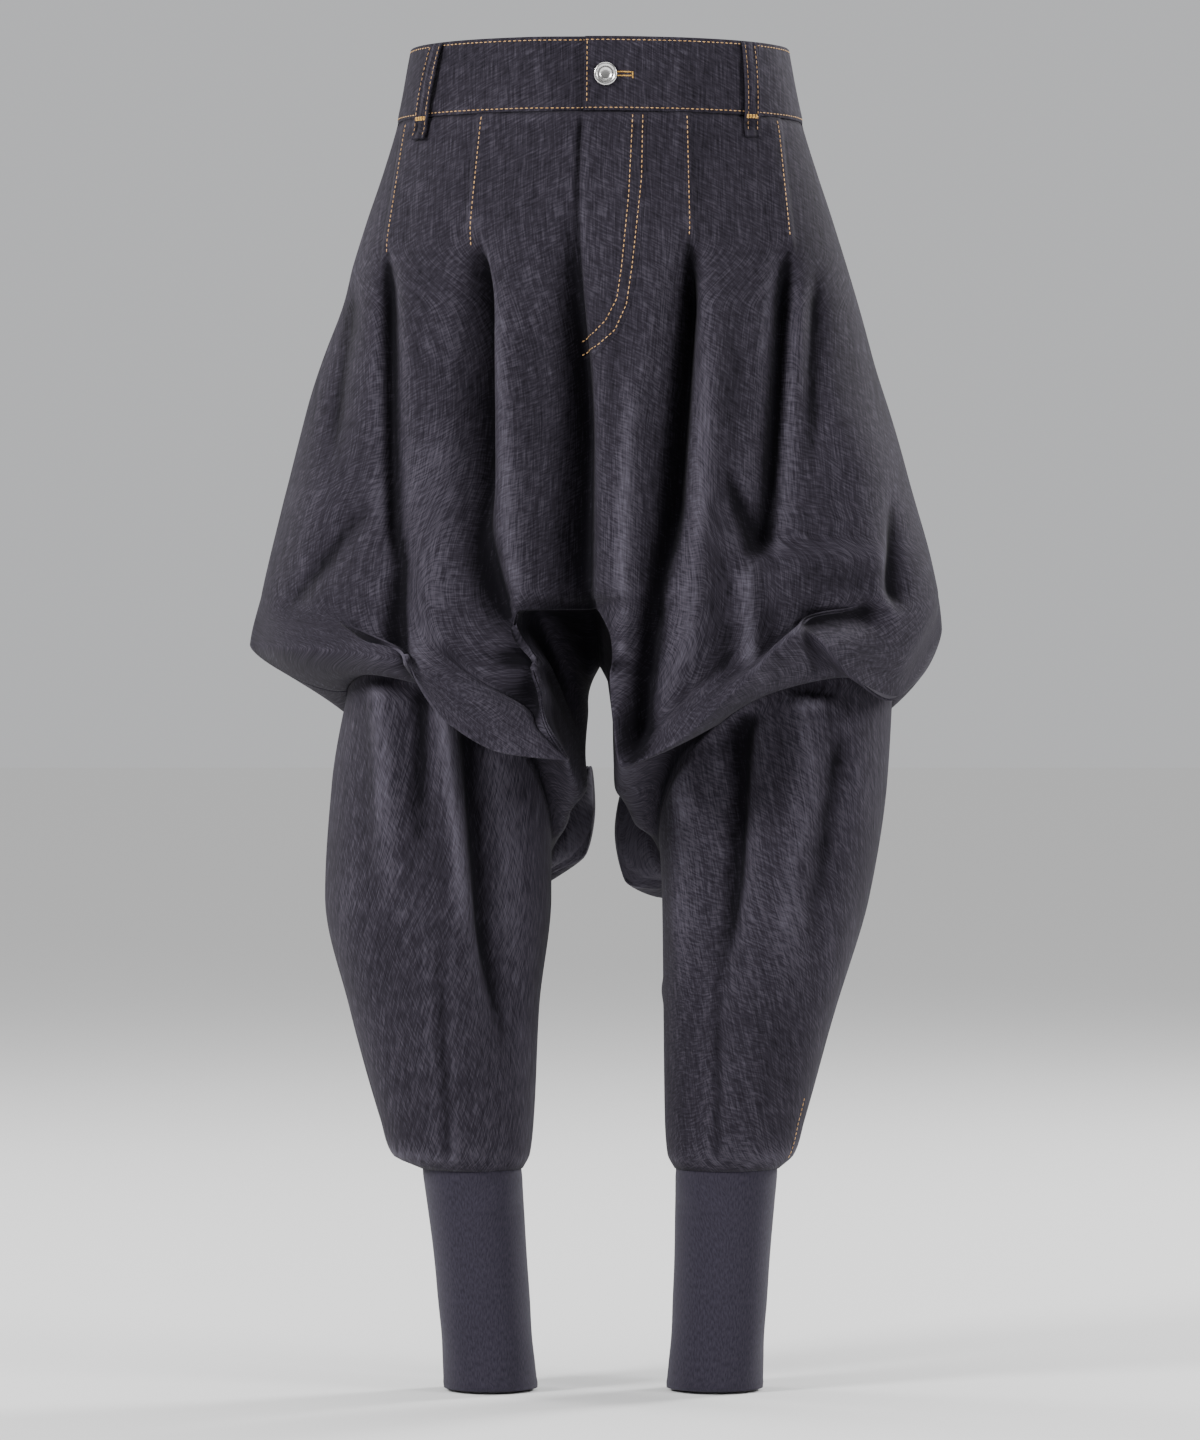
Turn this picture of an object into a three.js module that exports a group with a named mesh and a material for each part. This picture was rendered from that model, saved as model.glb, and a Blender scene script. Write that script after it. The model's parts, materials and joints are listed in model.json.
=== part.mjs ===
// Harem pants in dark denim: a smooth front waistband, an elasticated back waistband,
// a wide body that hangs over the legs in drapes, a crotch gusset, tapered lower legs and jersey cuffs.
// The garment keeps the form it has when worn. Units are millimetres, +Z is up, the front faces -Y,
// and the wearer's left is +X. The origin is the middle of the waist, where the wearer holds it up.
import * as THREE from "three";

// Driving dimensions
const CLOTH = 2;
const BAND_CLOTH = 3;
const JERSEY = 1.6;
const SEAM = 0.3;
const LEG_GAP = 0.6;
const GUSSET_GAP = 0.8;
const WAIST_TOP = 29;
const WAIST_SEAM = -26;
const CUFF_SEAM = -800;
const CUFF_HEM = -963;
const FRONT_SEAM_DEG = -4.6;
const HANG_Z = -370;
const BUTTON_WIDTH = 17;
const RAD = Math.PI / 180;

const at = (x, y, z) => new THREE.Vector3(x, y, z);
const mix = (a, b, t) => a + (b - a) * t;
const steps = (low, high, count) => Array.from({ length: count + 1 }, (_, i) => mix(low, high, i / count));
const clamp = (v, low, high) => Math.min(high, Math.max(low, v));
// Eases from 0 at one value to 1 at another, which may be the lower one.
const ease = (from, to, v) => THREE.MathUtils.smoothstep((v - from) / (to - from), 0, 1);

// A smooth curve through one column of a table, which never overshoots its rows.
function curve(rows, key, name) {
  const sorted = [...rows].sort((a, b) => a[key] - b[key]);
  const x = sorted.map((r) => r[key]);
  const y = sorted.map((r) => r[name]);
  const last = x.length - 1;
  const step = x.slice(1).map((v, i) => v - x[i]);
  const slope = step.map((w, i) => (y[i + 1] - y[i]) / w);
  const tangent = x.map((_, i) => {
    if (i === 0) return slope[0];
    if (i === last) return slope[last - 1];
    if (slope[i - 1] * slope[i] <= 0) return 0;
    const before = (2 * step[i] + step[i - 1]) / slope[i - 1];
    const after = (step[i] + 2 * step[i - 1]) / slope[i];
    return (3 * (step[i] + step[i - 1])) / (before + after);
  });
  return (v) => {
    const c = clamp(v, x[0], x[last]);
    let i = 0;
    while (i < last - 1 && c > x[i + 1]) i += 1;
    const t = (c - x[i]) / step[i];
    const s = 1 - t;
    return (
      y[i] * s * s * (1 + 2 * t) +
      y[i + 1] * t * t * (3 - 2 * t) +
      step[i] * (tangent[i] * t * s * s - tangent[i + 1] * s * t * t)
    );
  };
}

const columns = (rows, key, names) => Object.fromEntries(names.map((n) => [n, curve(rows, key, n)]));

// The body at heights below the waist: half its width, and its depth in front and behind
const BODY = [
  { z: 30, half: 139, front: 97, back: 101 },
  { z: -26, half: 150, front: 101, back: 107 },
  { z: -60, half: 160, front: 108, back: 121 },
  { z: -99, half: 173, front: 116, back: 134 },
  { z: -161, half: 192, front: 127, back: 146 },
  { z: -224, half: 209, front: 138, back: 151 },
  { z: -286, half: 227, front: 147, back: 152 },
  { z: -348, half: 245, front: 155, back: 150 },
  { z: -400, half: 256, front: 160, back: 148 },
];
const bodyAt = columns(BODY, "z", ["half", "front", "back"]);

// The lower edge of the drape in each quarter: u runs from the centre seam to the side, and deg
// is the heading round the waist of the cloth that comes down to that place.
// In front each leg's cloth swings to a tip beside the centre, under a notch where the legs part.
const EDGE = {
  front_left: [
    { u: 0, deg: -4.6, x: -15, y: -126, z: -386 },
    { u: 0.08, deg: 3, x: -7, y: -130, z: -388 },
    { u: 0.14, deg: 8.6, x: 6, y: -138, z: -408 },
    { u: 0.22, deg: 16.2, x: 9, y: -141, z: -458 },
    { u: 0.3, deg: 23.8, x: 17, y: -138, z: -501 },
    { u: 0.4, deg: 33.2, x: 57, y: -156, z: -481 },
    { u: 0.5, deg: 42.7, x: 96, y: -162, z: -447 },
    { u: 0.62, deg: 54.1, x: 148, y: -148, z: -403 },
    { u: 0.74, deg: 65.4, x: 182, y: -118, z: -436 },
    { u: 0.84, deg: 74.9, x: 211, y: -82, z: -452 },
    { u: 0.92, deg: 82.4, x: 232, y: -44, z: -434 },
    { u: 1, deg: 90, x: 254, y: 4, z: -400 },
  ],
  front_right: [
    { u: 0, deg: -4.6, x: -15, y: -126, z: -386 },
    { u: 0.1, deg: -13.1, x: -66, y: -146, z: -388 },
    { u: 0.16, deg: -18.3, x: -79, y: -152, z: -402 },
    { u: 0.23, deg: -24.2, x: -54, y: -149, z: -448 },
    { u: 0.3, deg: -30.2, x: -24, y: -140, z: -496 },
    { u: 0.4, deg: -38.8, x: -71, y: -158, z: -490 },
    { u: 0.5, deg: -47.3, x: -112, y: -160, z: -467 },
    { u: 0.62, deg: -57.5, x: -148, y: -142, z: -424 },
    { u: 0.74, deg: -67.8, x: -180, y: -116, z: -418 },
    { u: 0.86, deg: -78, x: -229, y: -66, z: -414 },
    { u: 1, deg: -90, x: -260, y: 4, z: -412 },
  ],
  back_left: [
    { u: 0, deg: 176.9, x: 14, y: 146, z: -342 },
    { u: 0.12, deg: 164, x: 66, y: 148, z: -351 },
    { u: 0.2, deg: 154, x: 108, y: 148, z: -364 },
    { u: 0.28, deg: 144.5, x: 142, y: 144, z: -412 },
    { u: 0.32, deg: 141.5, x: 128, y: 118, z: -444 },
    { u: 0.36, deg: 139.5, x: 104, y: 122, z: -476 },
    { u: 0.44, deg: 137, x: 56, y: 110, z: -502 },
    { u: 0.52, deg: 135, x: 19, y: 98, z: -518 },
    { u: 0.56, deg: 134, x: 14, y: 92, z: -560 },
    { u: 0.6, deg: 132.5, x: 15, y: 88, z: -602 },
    { u: 0.64, deg: 130, x: 44, y: 98, z: -596 },
    { u: 0.74, deg: 121, x: 112, y: 108, z: -558 },
    { u: 0.84, deg: 110, x: 156, y: 102, z: -514 },
    { u: 0.92, deg: 100, x: 202, y: 76, z: -462 },
    { u: 1, deg: 90, x: 254, y: 4, z: -400 },
  ],
  back_right: [
    { u: 0, deg: 176.9, x: 14, y: 146, z: -342 },
    { u: 0.12, deg: 184, x: -14, y: 148, z: -362 },
    { u: 0.2, deg: 191.5, x: -44, y: 148, z: -382 },
    { u: 0.28, deg: 201, x: -85, y: 144, z: -426 },
    { u: 0.32, deg: 204, x: -80, y: 118, z: -456 },
    { u: 0.36, deg: 206, x: -68, y: 118, z: -490 },
    { u: 0.44, deg: 209, x: -44, y: 112, z: -516 },
    { u: 0.52, deg: 212, x: -5, y: 102, z: -502 },
    { u: 0.56, deg: 214, x: -7, y: 96, z: -540 },
    { u: 0.6, deg: 217, x: -6, y: 90, z: -580 },
    { u: 0.64, deg: 221, x: -36, y: 98, z: -578 },
    { u: 0.74, deg: 234, x: -80, y: 108, z: -538 },
    { u: 0.84, deg: 248, x: -128, y: 102, z: -498 },
    { u: 0.92, deg: 259, x: -188, y: 76, z: -450 },
    { u: 1, deg: 270, x: -260, y: 4, z: -412 },
  ],
};

// Each quarter of the body: which leg it belongs to, where its tip is, where the
// fold under it meets the leg, how that place lies round the leg, where the fold starts, and
// how the band of cloth behind the leg rises as it sweeps to the centre.
// cols are its upright lines of points, dense where the gusset is sewn to it.
const QUARTERS = {
  front_left: { side: 1, tip: 0.3, join: 0.4, turn: -30, pace: 1, foldFrom: -1, rise: 0 },
  front_right: { side: -1, tip: 0.3, join: 0.4, turn: -30, pace: 1, foldFrom: -1, rise: 0 },
  back_left: { side: 1, tip: 0.6, join: 0.64, turn: 230, pace: 1.28, foldFrom: 0.1, rise: -0.12 },
  back_right: { side: -1, tip: 0.6, join: 0.64, turn: 230, pace: 1.28, foldFrom: 0.1, rise: 0.9 },
};
const GUSSET_ROWS = 16;
const GUSSET_STEPS = 15;
const FRONT_COLS = [...steps(0, 0.4, GUSSET_ROWS / 2), ...steps(0.4, 1, 20).slice(1)];
const BACK_COLS = [...steps(0, 0.64, GUSSET_ROWS), ...steps(0.64, 1, 14).slice(1)];
for (const [name, q] of Object.entries(QUARTERS)) {
  q.edge = columns(EDGE[name], "u", ["deg", "x", "y", "z"]);
  q.face = name.split("_")[0];
  q.cols = q.face === "front" ? FRONT_COLS : BACK_COLS;
  q.flip = q.side * (q.face === "front" ? 1 : -1);
}
const frontQuarter = (side) => (side > 0 ? QUARTERS.front_left : QUARTERS.front_right);
const backQuarter = (side) => (side > 0 ? QUARTERS.back_left : QUARTERS.back_right);

// Each leg below the drape: its inner and outer distance from the middle, and its depths
const LEG = {
  left: [
    { z: -430, inner: 44, outer: 218, front: 92, back: 86 },
    { z: -515, inner: 42, outer: 213, front: 98, back: 96 },
    { z: -598, inner: 46, outer: 200, front: 98, back: 101 },
    { z: -681, inner: 47, outer: 175, front: 82, back: 88 },
    { z: -764, inner: 48, outer: 152, front: 62, back: 68 },
    { z: -790, inner: 50, outer: 144, front: 53, back: 59 },
    { z: -800, inner: 55, outer: 133, front: 44, back: 50 },
  ],
  right: [
    { z: -430, inner: 42, outer: 184, front: 92, back: 86 },
    { z: -515, inner: 36, outer: 199, front: 98, back: 96 },
    { z: -598, inner: 36, outer: 204, front: 98, back: 101 },
    { z: -681, inner: 45, outer: 186, front: 82, back: 88 },
    { z: -764, inner: 49, outer: 163, front: 62, back: 68 },
    { z: -790, inner: 52, outer: 154, front: 53, back: 59 },
    { z: -800, inner: 57, outer: 133, front: 44, back: 50 },
  ],
};
const CUFF = {
  left: [
    { z: -800, inner: 56, outer: 132, front: 43, back: 49 },
    { z: -868, inner: 55, outer: 126, front: 38, back: 44 },
    { z: -963, inner: 50, outer: 120, front: 35, back: 41 },
  ],
  right: [
    { z: -800, inner: 58, outer: 132, front: 43, back: 49 },
    { z: -868, inner: 54, outer: 123, front: 38, back: 44 },
    { z: -963, inner: 47, outer: 115, front: 35, back: 41 },
  ],
};
// The height at which each leg leaves the fold under the drape, round the leg from its front
const RIM = [
  { turn: -90, z: -566 },
  { turn: -45, z: -490 },
  { turn: 0, z: -446 },
  { turn: 45, z: -434 },
  { turn: 90, z: -446 },
  { turn: 135, z: -474 },
  { turn: 180, z: -545 },
  { turn: 230, z: -592 },
  { turn: 270, z: -566 },
];
const rimZ = curve(RIM, "turn", "z");
const legAt = Object.fromEntries(
  ["left", "right"].map((n) => [n, columns(LEG[n], "z", ["inner", "outer", "front", "back"])]),
);
const cuffAt = Object.fromEntries(
  ["left", "right"].map((n) => [n, columns(CUFF[n], "z", ["inner", "outer", "front", "back"])]),
);

// Folds, each a straight crease seen from the front or from behind. It runs from (x0, z0) to
// (x1, z1), is wide0 and wide1 from its middle to its shoulders, and deep is positive for a ridge
// and negative for a trough. It comes in and fades out over the last two lengths.
const fold = (x0, z0, x1, z1, wide0, wide1, deep, come, fade) => {
  const long = Math.hypot(x1 - x0, z1 - z0);
  return { x0, z0, dx: (x1 - x0) / long, dz: (z1 - z0) / long, long, wide0, wide1, deep, come, fade };
};
const FRONT_FOLDS = [
  fold(-92, -104, -106, -345, 8, 21, -28, 70, 20),
  fold(-106, -320, -50, -484, 18, 11, -19, 30, 40),
  fold(-70, -130, -68, -420, 12, 13, 8, 90, 10),
  fold(-24, -60, -32, -430, 8, 21, -29, 240, 1),
  fold(23, -190, 10, -430, 10, 10, 7, 80, 10),
  fold(64, -104, 38, -360, 8, 15, -27, 70, 20),
  fold(38, -336, 26, -500, 14, 10, -18, 24, 30),
  fold(86, -130, 56, -460, 14, 15, 8, 90, 60),
  fold(-157, -112, -146, -350, 7, 10, -12, 60, 10),
  fold(-146, -340, -148, -450, 9, 9, -11, 10, 1),
  fold(-122, -210, -118, -440, 14, 16, 7, 80, 40),
  fold(137, -112, 116, -352, 7, 11, -15, 60, 20),
  fold(90, -290, 112, -350, 7, 8, -8, 30, 20),
  fold(128, -360, 112, -342, 14, 9, -9, 16, 10),
  fold(104, -350, 106, -440, 9, 9, 6, 20, 20),
  fold(178, -200, 184, -372, 30, 30, 12, 90, 30),
  fold(140, -402, 216, -386, 9, 10, -13, 20, 20),
  fold(219, -392, 208, -290, 8, 8, -9, 20, 60),
  fold(-236, -396, -160, -300, 10, 10, -4, 30, 30),
  fold(-200, -150, -214, -360, 20, 24, 5, 90, 60),
];
const BACK_FOLDS = [
  fold(166, -112, 158, -470, 14, 19, -41, 110, 60),
  fold(-124, -104, -108, -480, 13, 18, -41, 110, 60),
  fold(11, -50, 14, -372, 6, 7, -9, 60, 1),
  fold(52, -300, 112, -372, 14, 16, -8, 40, 20),
  fold(-34, -290, -60, -400, 14, 14, -8, 50, 20),
  fold(100, -250, 124, -400, 14, 16, 6, 60, 30),
  fold(-70, -270, -84, -410, 12, 12, 6, 60, 30),
  fold(186, -420, 60, -560, 22, 20, 8, 60, 60),
  fold(-180, -420, -50, -540, 22, 20, 8, 60, 60),
  fold(-196, -120, -188, -260, 9, 9, -8, 50, 60),
];
const LEG_FOLDS = {
  front_left: [
    fold(94, -430, 82, -680, 14, 12, -11, 1, 120),
    fold(150, -450, 132, -700, 16, 14, 5, 1, 120),
    fold(60, -480, 62, -700, 9, 9, 5, 20, 90),
    fold(84, -640, 86, -796, 7, 6, -4, 60, 10),
  ],
  front_right: [
    fold(-88, -430, -62, -740, 13, 11, -11, 1, 130),
    fold(-112, -450, -96, -640, 9, 9, 6, 1, 80),
    fold(-158, -440, -150, -640, 10, 12, 6, 1, 120),
    fold(-128, -440, -130, -560, 9, 9, -5, 1, 80),
    fold(-118, -620, -112, -796, 7, 6, -4, 60, 10),
  ],
  back_left: [
    fold(46, -632, 98, -672, 8, 9, -10, 10, 20),
    fold(94, -664, 108, -704, 9, 8, -8, 10, 16),
    fold(158, -704, 60, -702, 8, 8, -9, 24, 20),
    fold(154, -688, 64, -686, 8, 8, 6, 24, 20),
    fold(150, -712, 104, -744, 8, 7, 5, 16, 16),
    fold(100, -744, 58, -716, 7, 8, 5, 16, 16),
    fold(160, -540, 140, -660, 16, 16, 6, 40, 50),
  ],
  back_right: [
    fold(-40, -612, -112, -616, 8, 9, -9, 10, 20),
    fold(-108, -614, -158, -660, 9, 8, -9, 16, 24),
    fold(-46, -628, -108, -634, 9, 9, 5, 14, 24),
    fold(-154, -668, -112, -700, 9, 8, -8, 20, 20),
    fold(-118, -696, -122, -724, 8, 8, -7, 12, 16),
    fold(-74, -746, -116, -762, 8, 8, -6, 16, 16),
    fold(-160, -540, -150, -640, 16, 16, 6, 40, 50),
  ],
};

// How far the folds push the cloth out at a place
function foldDepth(folds, x, z) {
  let sum = 0;
  for (const f of folds) {
    const along = (x - f.x0) * f.dx + (z - f.z0) * f.dz;
    if (along < 0 || along > f.long) continue;
    const across = (x - f.x0) * f.dz - (z - f.z0) * f.dx;
    const wide = mix(f.wide0, f.wide1, along / f.long);
    const ends = ease(0, f.come, along) * (1 - ease(f.long - f.fade, f.long, along));
    sum += f.deep * ends * Math.exp(-((across / wide) ** 2));
  }
  return sum;
}

// Gathers of the elasticated back: their number, how deep they are, and how far down they run
const GATHERS = 30;
const GATHER_DEPTH = 4.6;
const GATHER_END_Z = -112;
function gatherDepth(deg, z) {
  const t = clamp((deg - 92) / 176, 0, 1);
  if (deg < 90 || deg > 270) return 0;
  const wander = 0.32 * Math.sin(t * 21) + 0.2 * Math.sin(t * 47 + 1);
  const wave = 0.5 - 0.5 * Math.cos(2 * Math.PI * (t * GATHERS + wander));
  const uneven = 0.78 + 0.22 * Math.sin(t * 61 + 2);
  const sides = ease(0, 0.04, t) * (1 - ease(0.96, 1, t));
  return -GATHER_DEPTH * wave * uneven * sides * ease(GATHER_END_Z, WAIST_SEAM - 8, z);
}

// A point of the body at a heading round the waist and a height, before and after its folds
function bodyPoint(deg, z) {
  const c = Math.cos(deg * RAD);
  const depth = c > 0 ? bodyAt.front(z) : bodyAt.back(z);
  return at(bodyAt.half(z) * Math.sin(deg * RAD), -depth * c, z);
}
function bodyOut(deg, z) {
  const c = Math.cos(deg * RAD);
  const depth = c > 0 ? bodyAt.front(z) : bodyAt.back(z);
  return at(Math.sin(deg * RAD) / bodyAt.half(z), -c / depth, 0).normalize();
}
function bodyFolded(deg, z, out = 0) {
  const p = bodyPoint(deg, z);
  const folds = p.y < 0 ? FRONT_FOLDS : BACK_FOLDS;
  const depth = foldDepth(folds, p.x, z) + gatherDepth((deg + 360) % 360, z);
  return p.addScaledVector(bodyOut(deg, z), depth * ease(WAIST_SEAM, WAIST_SEAM - 14, z) + out);
}

const headingAt = (x, z, front) => {
  const deg = Math.asin(clamp(x / bodyAt.half(z), -1, 1)) / RAD;
  return front ? deg : 180 - deg;
};

// A point of something that lies on the body, and bridges the folds under it as stiff cloth does
const BRIDGE = 6;
function layPoint(x, z, front, out) {
  const reach = [-2, -1, 0, 1, 2].map((i) => {
    const beside = headingAt(x + i * BRIDGE, z, front);
    return bodyFolded(beside, z).y - bodyPoint(beside, z).y;
  });
  const deg = headingAt(x, z, front);
  const lift = front ? Math.min(...reach) : Math.max(...reach);
  return bodyPoint(deg, z).add(at(0, lift, 0)).addScaledVector(bodyOut(deg, z), out);
}

const bezier = (a, b, c, d, t) => {
  const s = 1 - t;
  return at(0, 0, 0)
    .addScaledVector(a, s * s * s)
    .addScaledVector(b, 3 * s * s * t)
    .addScaledVector(c, 3 * s * t * t)
    .addScaledVector(d, t * t * t);
};

// A point of a leg's wall, at a heading round the leg (0 in front, 90 outside) and a height
function legPoint(side, section, turn, z) {
  const middle = (section.inner(z) + section.outer(z)) / 2;
  const half = (section.outer(z) - section.inner(z)) / 2;
  const c = Math.cos(turn * RAD);
  const depth = c > 0 ? section.front(z) : section.back(z);
  return at(side * (middle + half * Math.sin(turn * RAD)), -depth * c, z);
}
const sideName = (side) => (side > 0 ? "left" : "right");
const rimPoint = (side, turn) => legPoint(side, legAt[sideName(side)], turn, rimZ(turn));
function rimOut(side, turn) {
  return at(side * Math.sin(turn * RAD), -Math.cos(turn * RAD), 0);
}

// Where round the leg a column of a quarter meets it
const rimTurn = (q, u) => mix(q.turn, 90, clamp((u - q.join) / (1 - q.join), 0, 1) ** q.pace);

// A quarter of the body. v runs from 0 at the waist seam to 1 at the drape's edge, and on to 2
// where the fold under the edge meets the leg or the gusset.
const HANG_V = 0.7;
const ROLL = 9;
const TURN_IN = 14;
const FOLD_EASE = 0.18;
function quarterPoint(q, u, v) {
  const deg = q.edge.deg(u);
  const edge = at(q.edge.x(u), q.edge.y(u), q.edge.z(u));
  const hang = Math.max(HANG_Z, edge.z + 18);
  if (v <= HANG_V) return bodyFolded(deg, mix(WAIST_SEAM, hang, v / HANG_V));
  const start = bodyPoint(deg, hang);
  const flow = start.clone().sub(bodyPoint(deg, hang + 12)).normalize();
  const sweep = edge.clone().sub(start);
  const long = sweep.length();
  const down = ease(q.tip, q.tip + 0.08, u);
  const end = sweep.normalize().add(at(0, 0, -1.3 * down)).normalize();
  const level = q.face === "front" ? 0 : ease(0.3, 0.38, u) * ease(0.68, 0.5, u);
  const rise = mix(-0.12, q.rise, ease(0.42, 0.5, u) * ease(0.62, 0.56, u));
  end.lerp(at(-q.side, -0.1, rise).normalize(), level).normalize();
  const t = Math.min(1, (v - HANG_V) / (1 - HANG_V));
  const near = start.clone().addScaledVector(flow, long * mix(0.33, 0.5, level));
  const far = edge.clone().addScaledVector(end, -long * mix(0.33, 0.4, level));
  const p = bezier(start, near, far, edge, t);
  const folds = q.face === "front" ? FRONT_FOLDS : BACK_FOLDS;
  p.addScaledVector(bodyOut(deg, HANG_Z), foldDepth(folds, p.x, p.z));
  if (v <= 1) return p;
  const inward = at(q.side * 100 * Math.min(u, 0.1) - p.x * ease(0, 0.1, u), -p.y, 0).normalize();
  const folded = ease(q.foldFrom, q.foldFrom + FOLD_EASE, u);
  const short = p.clone().addScaledVector(inward, TURN_IN * folded);
  short.addScaledVector(end, mix(4, 1, folded));
  const turn = rimTurn(q, u);
  const rim = rimPoint(q.side, turn);
  const under = ease(q.tip, q.join, u);
  const last = short.clone().lerp(rim, under);
  const first = p.clone().addScaledVector(end, mix(1 + 3 * folded, ROLL, under));
  const before = last.clone().addScaledVector(inward, -5 * folded * (1 - under));
  before.addScaledVector(end, -1.3 * (1 - folded) * (1 - under));
  before.addScaledVector(rimOut(q.side, turn), 22 * under).add(at(0, 0, -5 * under));
  return bezier(p, first, before, last, v - 1);
}

// The gusset runs between the legs: along from front to back, across from the right leg (-1)
// over the crotch (0) to the left leg (1). Half way back it hangs in two inner walls.
const GUSSET = [
  { across: 0, x: 0, z: -428 },
  { across: 0.14, x: 8, z: -446 },
  { across: 0.4, x: 10, z: -484 },
  { across: 0.68, x: 11, z: -530 },
  { across: 0.86, x: 17, z: -566 },
  { across: 1, x: 26, z: -572 },
];
const gussetAt = columns(GUSSET, "across", ["x", "z"]);
// How far the gusset hangs below its back seam before it turns under, in scallops
const SCALLOP = [
  { across: 0, drop: 16 },
  { across: 0.06, drop: 26 },
  { across: 0.13, drop: 44 },
  { across: 0.2, drop: 24 },
  { across: 0.27, drop: 0 },
  { across: 1, drop: 0 },
];
const scallop = curve(SCALLOP, "across", "drop");
// A point of the straight lines between a quarter's columns, where the gusset is sewn to it
function sewnPoint(q, across, v) {
  const u = across * q.join;
  const k = clamp(q.cols.findIndex((c) => c >= u - 1e-9), 1, q.cols.length - 1);
  const t = (u - q.cols[k - 1]) / (q.cols[k] - q.cols[k - 1]);
  return quarterPoint(q, q.cols[k - 1], v).lerp(quarterPoint(q, q.cols[k], v), t);
}
function gussetPoint(along, across) {
  const side = across < 0 ? -1 : 1;
  const q = Math.abs(across);
  const front = frontQuarter(side);
  const back = backQuarter(side);
  const a = sewnPoint(front, q, 2);
  const e = sewnPoint(back, q, 2);
  const aIn = a.clone().sub(sewnPoint(front, q, 1.85)).normalize();
  const eIn = e.clone().sub(sewnPoint(back, q, 1.85)).normalize();
  a.addScaledVector(aIn, GUSSET_GAP);
  e.addScaledVector(eIn, GUSSET_GAP);
  const c = at(side * gussetAt.x(q), 0, gussetAt.z(q));
  const drop = scallop(q);
  const hem = e.clone().add(at(0, -4, -drop));
  const knots = [a, a.clone().addScaledVector(aIn, 12), c, hem.clone().add(at(0, -9, 2)), e];
  knots[3].addScaledVector(eIn, 9 * (1 - Math.min(1, drop / 12)));
  if (drop <= 6) knots[3].z -= 10 * ease(back.foldFrom + FOLD_EASE, back.foldFrom, q * back.join);
  if (drop > 6) knots.splice(4, 0, hem.clone().add(at(0, 3, 4)));
  const long = [0];
  for (let i = 1; i < knots.length; i += 1) {
    long.push(long[i - 1] + knots[i].distanceTo(knots[i - 1]) ** 0.7);
  }
  const table = knots.map((k, i) => ({ s: long[i] / long.at(-1), x: k.x, y: k.y, z: k.z }));
  const p = at(...["x", "y", "z"].map((n) => curve(table, "s", n)(along)));
  const turn = mix(front.turn, back.turn - 360, along);
  const rim = rimPoint(side, turn < -90 ? turn + 360 : turn);
  rim.addScaledVector(aIn, along === 0 ? SEAM : 0).addScaledVector(eIn, along === 1 ? SEAM : 0);
  if (along === 0 || along === 1) return q === 1 ? rim : p;
  const middle = ease(0, 0.2, along) * ease(1, 0.8, along);
  rim.z += 150 * (1 - q);
  return p.lerp(rim, mix(ease(0.9, 1, q), ease(0.6, 1, q), middle));
}

// A lower leg. s runs from the fold under the drape down to the cuff.
function lowerLegPoint(side, turn, s) {
  const section = legAt[sideName(side)];
  const folds = LEG_FOLDS[(Math.abs(turn) <= 90 ? "front_" : "back_") + sideName(side)];
  const top = rimZ(turn) - LEG_GAP;
  const z = mix(top, CUFF_SEAM, s);
  const p = legPoint(side, section, turn, z);
  const facing = Math.abs(Math.cos(turn * RAD));
  const ends = ease(0, 0.05, s) * (1 - ease(0.95, 1, s)) * ease(0, 0.35, facing);
  return p.addScaledVector(rimOut(side, turn), foldDepth(folds, p.x, z) * ends);
}

// The way a surface faces, from points to each side of it
function facing(surface, a, b, range) {
  const h = 0.004;
  const [a0, a1] = [Math.max(range[0], a - h), Math.min(range[1], a + h)];
  const [b0, b1] = [Math.max(range[2], b - h), Math.min(range[3], b + h)];
  const across = surface(a1, b).sub(surface(a0, b));
  const along = surface(a, b1).sub(surface(a, b0));
  return across.cross(along).normalize();
}

// Triangles between two rows of points that may differ in number, taken in step along the rows
function zip(low, high, offsetLow, offsetHigh, closed, faces, turned) {
  const n = low.length + (closed ? 0 : -1);
  const m = high.length + (closed ? 0 : -1);
  const lowAt = (k) => (k < low.length ? low[k] : Infinity);
  const highAt = (k) => (k < high.length ? high[k] : Infinity);
  let i = 0;
  let j = 0;
  while (i < n || j < m) {
    const a = offsetLow + (i % low.length);
    const b = offsetHigh + (j % high.length);
    const onLow = j >= m || (i < n && lowAt(i) + lowAt(i + 1) <= highAt(j) + highAt(j + 1));
    const c = onLow ? offsetLow + ((i + 1) % low.length) : offsetHigh + ((j + 1) % high.length);
    faces.push(...(turned ? [a, b, c] : [a, c, b]));
    if (onLow) i += 1;
    else j += 1;
  }
}

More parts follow.
